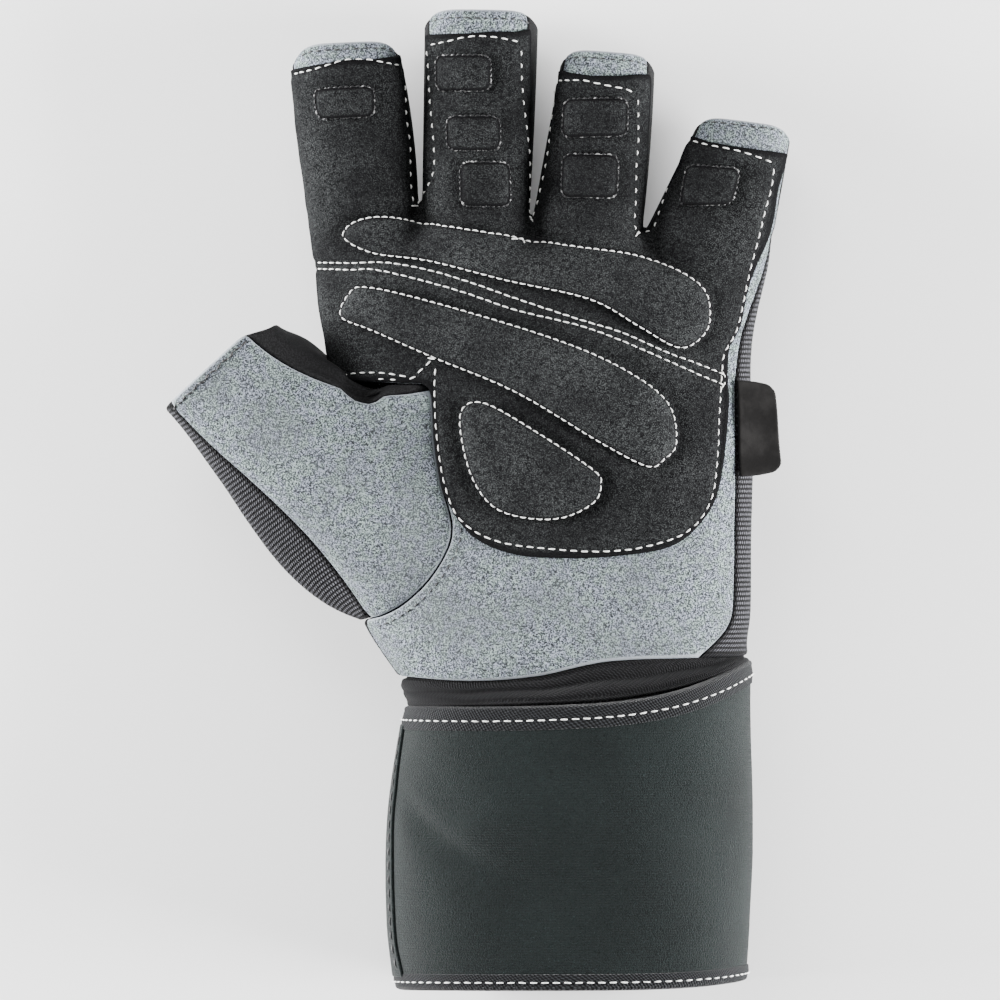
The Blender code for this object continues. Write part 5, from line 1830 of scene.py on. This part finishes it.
def stitch_row(name, path, surface, material, slot, stitch):
    """A row of stitches along a path: short thread humps that lie on a surface, with their ends drawn in."""
    size = sizes()
    length = size.stitch_length * stitch.length
    pitch = (size.wrap_pitch if name.startswith("wrap") else size.stitch_pitch) * stitch.pitch
    thick = size.thread_radius * stitch.thick
    sides, rings = THREAD_SIDES, THREAD_RINGS
    points, faces = [], []
    for number, (spot, ahead) in enumerate(evenly(path, pitch)):
        place, normal, _, _ = surface.find_nearest(spot)
        across = normal.cross(ahead).normalized()
        ahead = across.cross(normal).normalized()
        twist = 0.14 * noise.noise(spot * 900) + stitch.turn * (1 - 2 * (number % 2))
        ahead = (ahead + across * twist).normalized()
        across = normal.cross(ahead)
        base = len(points)
        for ring in range(rings + 1):
            share = ring / rings
            arch = math.sin(math.pi * share)
            rise = arch * 0.9 + stitch.lift - 0.5
            middle = place + ahead * length * (share - 0.5) + normal * thick * rise
            radius = thick * (0.45 + 0.55 * arch ** 0.5)
            for side in range(sides):
                angle = 2 * math.pi * side / sides
                points.append(tuple(middle + (across * math.cos(angle) + normal * math.sin(angle)) * radius))
        for ring in range(rings):
            for side in range(sides):
                a = base + ring * sides + side
                b = base + ring * sides + (side + 1) % sides
                faces.append((a, b, b + sides, a + sides))
        faces.append(tuple(base + side for side in reversed(range(sides))))
        faces.append(tuple(base + rings * sides + side for side in range(sides)))
    return add_piece(name, points, faces, material, slot)


def dropped(path, tree):
    """A flat path laid down on a surface from above."""
    laid = []
    for point in path:
        hit = tree.ray_cast(Vector((point[0], point[1], 1.0)), Vector((0, 0, -1)))[0]
        if hit:
            laid.append(hit)
    return laid


@cache
def palm_surface():
    """The outer faces of the overlay and its pads as one tree."""
    points, faces = [], []
    sheets = [(overlay_sheet(), overlay_heights(overlay_sheet()))]
    for name in pad_outlines():
        sheets.append((pad_sheet(name), pad_heights(name, pad_sheet(name))))
    for sheet, top in sheets:
        base = len(points)
        points += [Vector(point) for point in sheet.points + sheet.normals * np.asarray(top)[:, None]]
        faces += [tuple(number + base for number in face) for face in sheet.faces]
    return BVHTree.FromPolygons(points, faces)


def inset(outline, distance):
    """A closed outline moved inwards and closed."""
    area = sum(a.x * b.y - b.x * a.y for a, b in zip(outline, outline[1:] + outline[:1]))
    turn = -1.0 if area > 0 else 1.0
    moved = []
    count = len(outline)
    for index, point in enumerate(outline):
        ahead = (outline[(index + 1) % count] - outline[index - 1]).normalized()
        moved.append(point + Vector((ahead.y, -ahead.x)) * turn * distance)
    return moved + moved[:1]


def ribbon(path, half):
    """A narrow band along a path for stitches to lie on, this far to each side."""
    half = Vector(half)
    points = [side for spot in path for side in (spot - half, spot + half)]
    return BVHTree.FromPolygons(points, [(a, a + 2, a + 3, a + 1) for a in range(0, 2 * len(path) - 2, 2)])


class GLOVE_OT_stitches(bpy.types.Operator):
    """Sew the pieces with rows of white and black stitches"""

    bl_idname = "glove.stitches"
    bl_label = "Stitches"

    def execute(self, context):
        self.sew_overlay()
        self.sew_suede()
        self.sew_wrap()
        return {"FINISHED"}

    def sew_overlay(self):
        """The rows and knots on the overlay, its seams and its pads."""
        tree = palm_surface()

        def sew(name, path, stitch, material):
            stitch_row(name, dropped(path, tree), tree, material, "black_suede", stitch)

        white, glint_thread = white_thread(), flecked_thread()
        for name, spots in OVERLAY_ROWS.items():
            stitch = LINE_STITCH if "line" in name else PLAIN_STITCH
            sew(name + "_stitches", on_palm(curve_through(spots, 6, False)), stitch, white)
        for name in PALM_PADS:
            sew(name + "_stitches", inset(pad_outlines()[name], PAD_STITCH_INSET), PAD_STITCH, white)
        for name in FINGER_PADS:
            loop = pad_outlines()[name] + pad_outlines()[name][:1]
            path = [a.lerp(b, step / 6) for a, b in zip(loop, loop[1:]) for step in range(6)] + loop[:1]
            sew(name + "_stitches", path, FINGER_PAD_STITCH, glint_thread)
        for name, spots in FINGER_SEAMS.items():
            stitch = TIP_STITCH if name.endswith("top") else SEAM_STITCH
            sew(name + "_stitches", on_palm(curve_through(spots, 4, False)), stitch, white)
        sew("web_lower_stitches", on_palm(curve_through(LOWER_WEB_ROW, 4, False)), WEB_STITCH, white)
        for index, spot in enumerate(on_palm(KNOTS)):
            turn = Vector((math.cos(index * 2.1), math.sin(index * 2.1))) * KNOT_REACH
            sew("knot_%d" % (index + 1), [spot - turn, spot, spot + turn], KNOT_STITCH, white)

    def sew_suede(self):
        """The black hems of the fingers and the thumb, and the seam beside the thumb."""
        grey, black = palm_sheet().tree(), black_thread()
        for finger in FINGERS:
            path = [finger_point(finger, FINGER_HEM, angle) for angle in steps_between(146, 34, 16)]
            stitch_row(finger.name + "_hem_stitches", path, grey, black, "grey_suede", HEM_STITCH)
        points, settings = thumb_base()
        first = THUMB_STEPS
        last = first + THUMB_STEPS * sum(line.piece == "panel" for line in THUMB)
        hem = [thumb_point(point, setting, 1 - THUMB_HEM / (3 * setting[4] * HAND_LENGTH))
               for point, setting in zip(points[first:last], settings[first:last])]
        panel = thumb_sheet().tree(PANEL_LIFT)
        stitch_row("thumb_hem_stitches", hem, panel, black, "grey_suede", THUMB_STITCH)
        loop = [point.to_2d() for point in points[first:last - 2 * THUMB_STEPS]]
        outer = []
        for before, point, after in zip(loop, loop[1:], loop[2:]):
            way = (after - before).normalized()
            outer.append(point + Vector((way.y, -way.x)) * PALM_SEAM_OFFSET)
        stitch_row("palm_seam_stitches", dropped(outer, grey), grey, black, "grey_suede",
                   PALM_SEAM_STITCH)

    def sew_wrap(self):
        """The rows on the wrap's tape and at its outer end."""
        for name, height in (("top", lambda angle: wrap_top(angle) - TAPE_HEIGHT * 0.6),
                             ("bottom", lambda angle: worn_bottom(angle) + BINDING_HEIGHT * 0.5)):
            path = [swayed(turn, height(wrap_angle(turn)), -0.0002) for turn in range(0, 361, 3)]
            path = [point for point in path if point.z > 0.002]
            stitch_row("wrap_%s_stitches" % name, path, ribbon(path, (0, 0.001, 0)), white_thread(),
                       "binding_tape", TAPE_STITCH)
        high = wrap_top(math.pi) - TAPE_HEIGHT * 1.2
        low = wrap_bottom() + BINDING_HEIGHT * 1.3
        path = [swayed((HEM_TURN - 3.5) * hem_slant(y), y, -HEM_RISE) for y in steps_between(high, low, 40)]
        stitch_row("wrap_end_stitches", path, ribbon(path, (0.0006, 0, 0.001)), black_thread(), "wrap_cloth",
                   WRAP_END_STITCH)


class GLOVE_OT_stage(bpy.types.Operator):
    """Make the floor, the lights and the camera"""

    bl_idname = "glove.stage"
    bl_label = "Stage"

    def execute(self, context):
        stage = context.scene.glove_stage
        mesh = bpy.data.meshes.new("floor")
        form = bmesh.new()
        bmesh.ops.create_grid(form, x_segments=1, y_segments=1, size=FLOOR_SIZE)
        form.to_mesh(mesh)
        form.free()
        shader = Shader("floor")
        mottle = shader.speckle(0.004, 3.0, 0.6)
        shader.finish(shader.mix(mottle, tuple(stage.floor), shade(tuple(stage.floor), 1.02)), 0.8)
        mesh.materials.append(shader.material)
        floor = bpy.data.objects.new("floor", mesh)
        floor.location.z = -FLOOR_GAP
        context.scene.collection.objects.link(floor)

        world = bpy.data.worlds.new("studio")
        world.use_nodes = True
        sky = world.node_tree.nodes["Background"].inputs
        sky["Color"].default_value = (1.0, 1.0, 1.0, 1.0)
        sky["Strength"].default_value = stage.ambient
        context.scene.world = world
        for lamp in LAMPS:
            light = bpy.data.lights.new(lamp.name, "AREA")
            light.size = lamp.size
            light.energy = stage.key * lamp.share
            holder = bpy.data.objects.new(lamp.name, light)
            holder.location = lamp.place
            holder.rotation_euler = (-Vector(lamp.place)).to_track_quat("-Z", "Y").to_euler()
            context.scene.collection.objects.link(holder)

        camera = bpy.data.cameras.new("camera")
        camera.lens = stage.lens
        camera.sensor_width = 36.0
        camera.clip_end = 20.0
        half = math.atan(camera.sensor_width / 2 / camera.lens)
        above = stage.view_height + stage.view_width / 2 / math.tan(half)
        eye = bpy.data.objects.new("camera", camera)
        eye.location = wrist_place() + Vector((stage.view_x, stage.view_y, above))
        context.scene.collection.objects.link(eye)
        context.scene.camera = eye
        return {"FINISHED"}


# Settings
def length_setting(name, description, default):
    """A setting in metres."""
    return bpy.props.FloatProperty(name=name, description=description, default=default, unit="LENGTH",
                                   precision=5)


def colour_setting(name, description, default):
    """A colour setting."""
    return bpy.props.FloatVectorProperty(name=name, description=description, default=default, size=3,
                                         subtype="COLOR", min=0.0, max=1.0)


class GloveSizes(bpy.types.PropertyGroup):
    """Sizes of the glove's finer work"""

    stitch_length: length_setting("Stitch length", "Length of a stitch on the palm", 0.0016)
    stitch_pitch: length_setting("Stitch pitch", "Distance from stitch to stitch on the palm", 0.0026)
    wrap_pitch: length_setting("Wrap stitch pitch", "Distance from stitch to stitch on the tape", 0.0027)
    thread_radius: length_setting("Thread radius", "Half the thickness of the thread", 0.00020)
    groove_depth: length_setting("Groove depth", "How far stitches draw the leather in", 0.00045)
    pad_rise: length_setting("Pad rise", "Height of the palm pads above the overlay", 0.0028)
    pad_shoulder: length_setting("Pad shoulder", "Width over which a palm pad rises", 0.0055)
    fold_depth: length_setting("Fold depth", "Depth of the soft folds in the wrap", 0.0015)


class GloveColours(bpy.types.PropertyGroup):
    """Colours of the glove's leather, cloth and thread"""

    grey_suede: colour_setting("Grey suede", "Middle tone of the grey suede", (0.122, 0.133, 0.145))
    black_suede: colour_setting("Black suede", "Middle tone of the black suede", (0.008, 0.008, 0.009))
    ribbed_weave: colour_setting("Ribbed weave", "Middle tone of the ribbed cloth", (0.022, 0.022, 0.025))
    stretch_cloth: colour_setting("Stretch cloth", "Middle tone of the stretch cloth", (0.007, 0.007, 0.0075))
    wrap_cloth: colour_setting("Wrap cloth", "Middle tone of the wrist wrap", (0.0050, 0.0076, 0.0075))
    binding_tape: colour_setting("Binding tape", "Middle tone of the edge tape", (0.0056, 0.0059, 0.0066))
    knit_band: colour_setting("Knit band", "Middle tone of the wrist band", (0.0060, 0.0060, 0.0066))
    tab_leather: colour_setting("Tab leather", "Middle tone of the pull tab", (0.0085, 0.0080, 0.0078))
    white_thread: colour_setting("White thread", "Colour of the white thread", (0.78, 0.78, 0.76))
    black_thread: colour_setting("Black thread", "Colour of the black thread", (0.010, 0.010, 0.011))


class GloveStage(bpy.types.PropertyGroup):
    """The floor, the lights and the camera"""

    floor: colour_setting("Floor", "Colour of the floor", (0.95, 0.95, 0.95))
    ambient: bpy.props.FloatProperty(name="Ambient", description="Brightness of the room", default=0.40)
    key: bpy.props.FloatProperty(name="Key light", description="Power of a side light", default=72.0,
                                 unit="POWER")
    lens: bpy.props.FloatProperty(name="Lens", description="Focal length in millimetres", default=400.0)
    view_width: length_setting("View width", "Width that the picture covers", 0.240)
    view_x: length_setting("View across", "Middle of the picture from the wrist seam, across", -0.01032)
    view_y: length_setting("View along", "Middle of the picture from the wrist seam, along", 0.0432)
    view_height: length_setting("View height", "Height at which the picture covers its width", 0.030)


OPERATORS = (
    GLOVE_OT_palm, GLOVE_OT_pads, GLOVE_OT_back, GLOVE_OT_thumb, GLOVE_OT_band, GLOVE_OT_wrap, GLOVE_OT_tab,
    GLOVE_OT_stitches, GLOVE_OT_stage,
)
GROUPS = {"glove_sizes": GloveSizes, "glove_colours": GloveColours, "glove_stage": GloveStage}


class GLOVE_PT_panel(bpy.types.Panel):
    """The glove's pieces and settings"""

    bl_idname = "GLOVE_PT_panel"
    bl_label = "Weightlifting glove"
    bl_space_type = "VIEW_3D"
    bl_region_type = "UI"
    bl_category = "Glove"

    def draw(self, context):
        layout = self.layout
        for operator in OPERATORS:
            layout.operator(operator.bl_idname)
        for name, group in GROUPS.items():
            box = layout.box()
            for setting in group.__annotations__:
                box.prop(getattr(context.scene, name), setting)


def register():
    """Adds the settings, the operators and the panel."""
    for name, group in GROUPS.items():
        bpy.utils.register_class(group)
        setattr(bpy.types.Scene, name, bpy.props.PointerProperty(type=group))
    for operator in OPERATORS:
        bpy.utils.register_class(operator)
    bpy.utils.register_class(GLOVE_PT_panel)


def unregister():
    """Removes the panel, the operators and the settings."""
    bpy.utils.unregister_class(GLOVE_PT_panel)
    for operator in reversed(OPERATORS):
        bpy.utils.unregister_class(operator)
    for name, group in GROUPS.items():
        delattr(bpy.types.Scene, name)
        bpy.utils.unregister_class(group)


def main():
    """Makes the whole glove on its stage."""
    register()
    bpy.ops.glove.stage()
    bpy.ops.glove.palm()
    bpy.ops.glove.pads()
    bpy.ops.glove.back()
    bpy.ops.glove.thumb()
    bpy.ops.glove.band()
    bpy.ops.glove.wrap()
    bpy.ops.glove.tab()
    bpy.ops.glove.stitches()


if __name__ == "__main__":
    main()
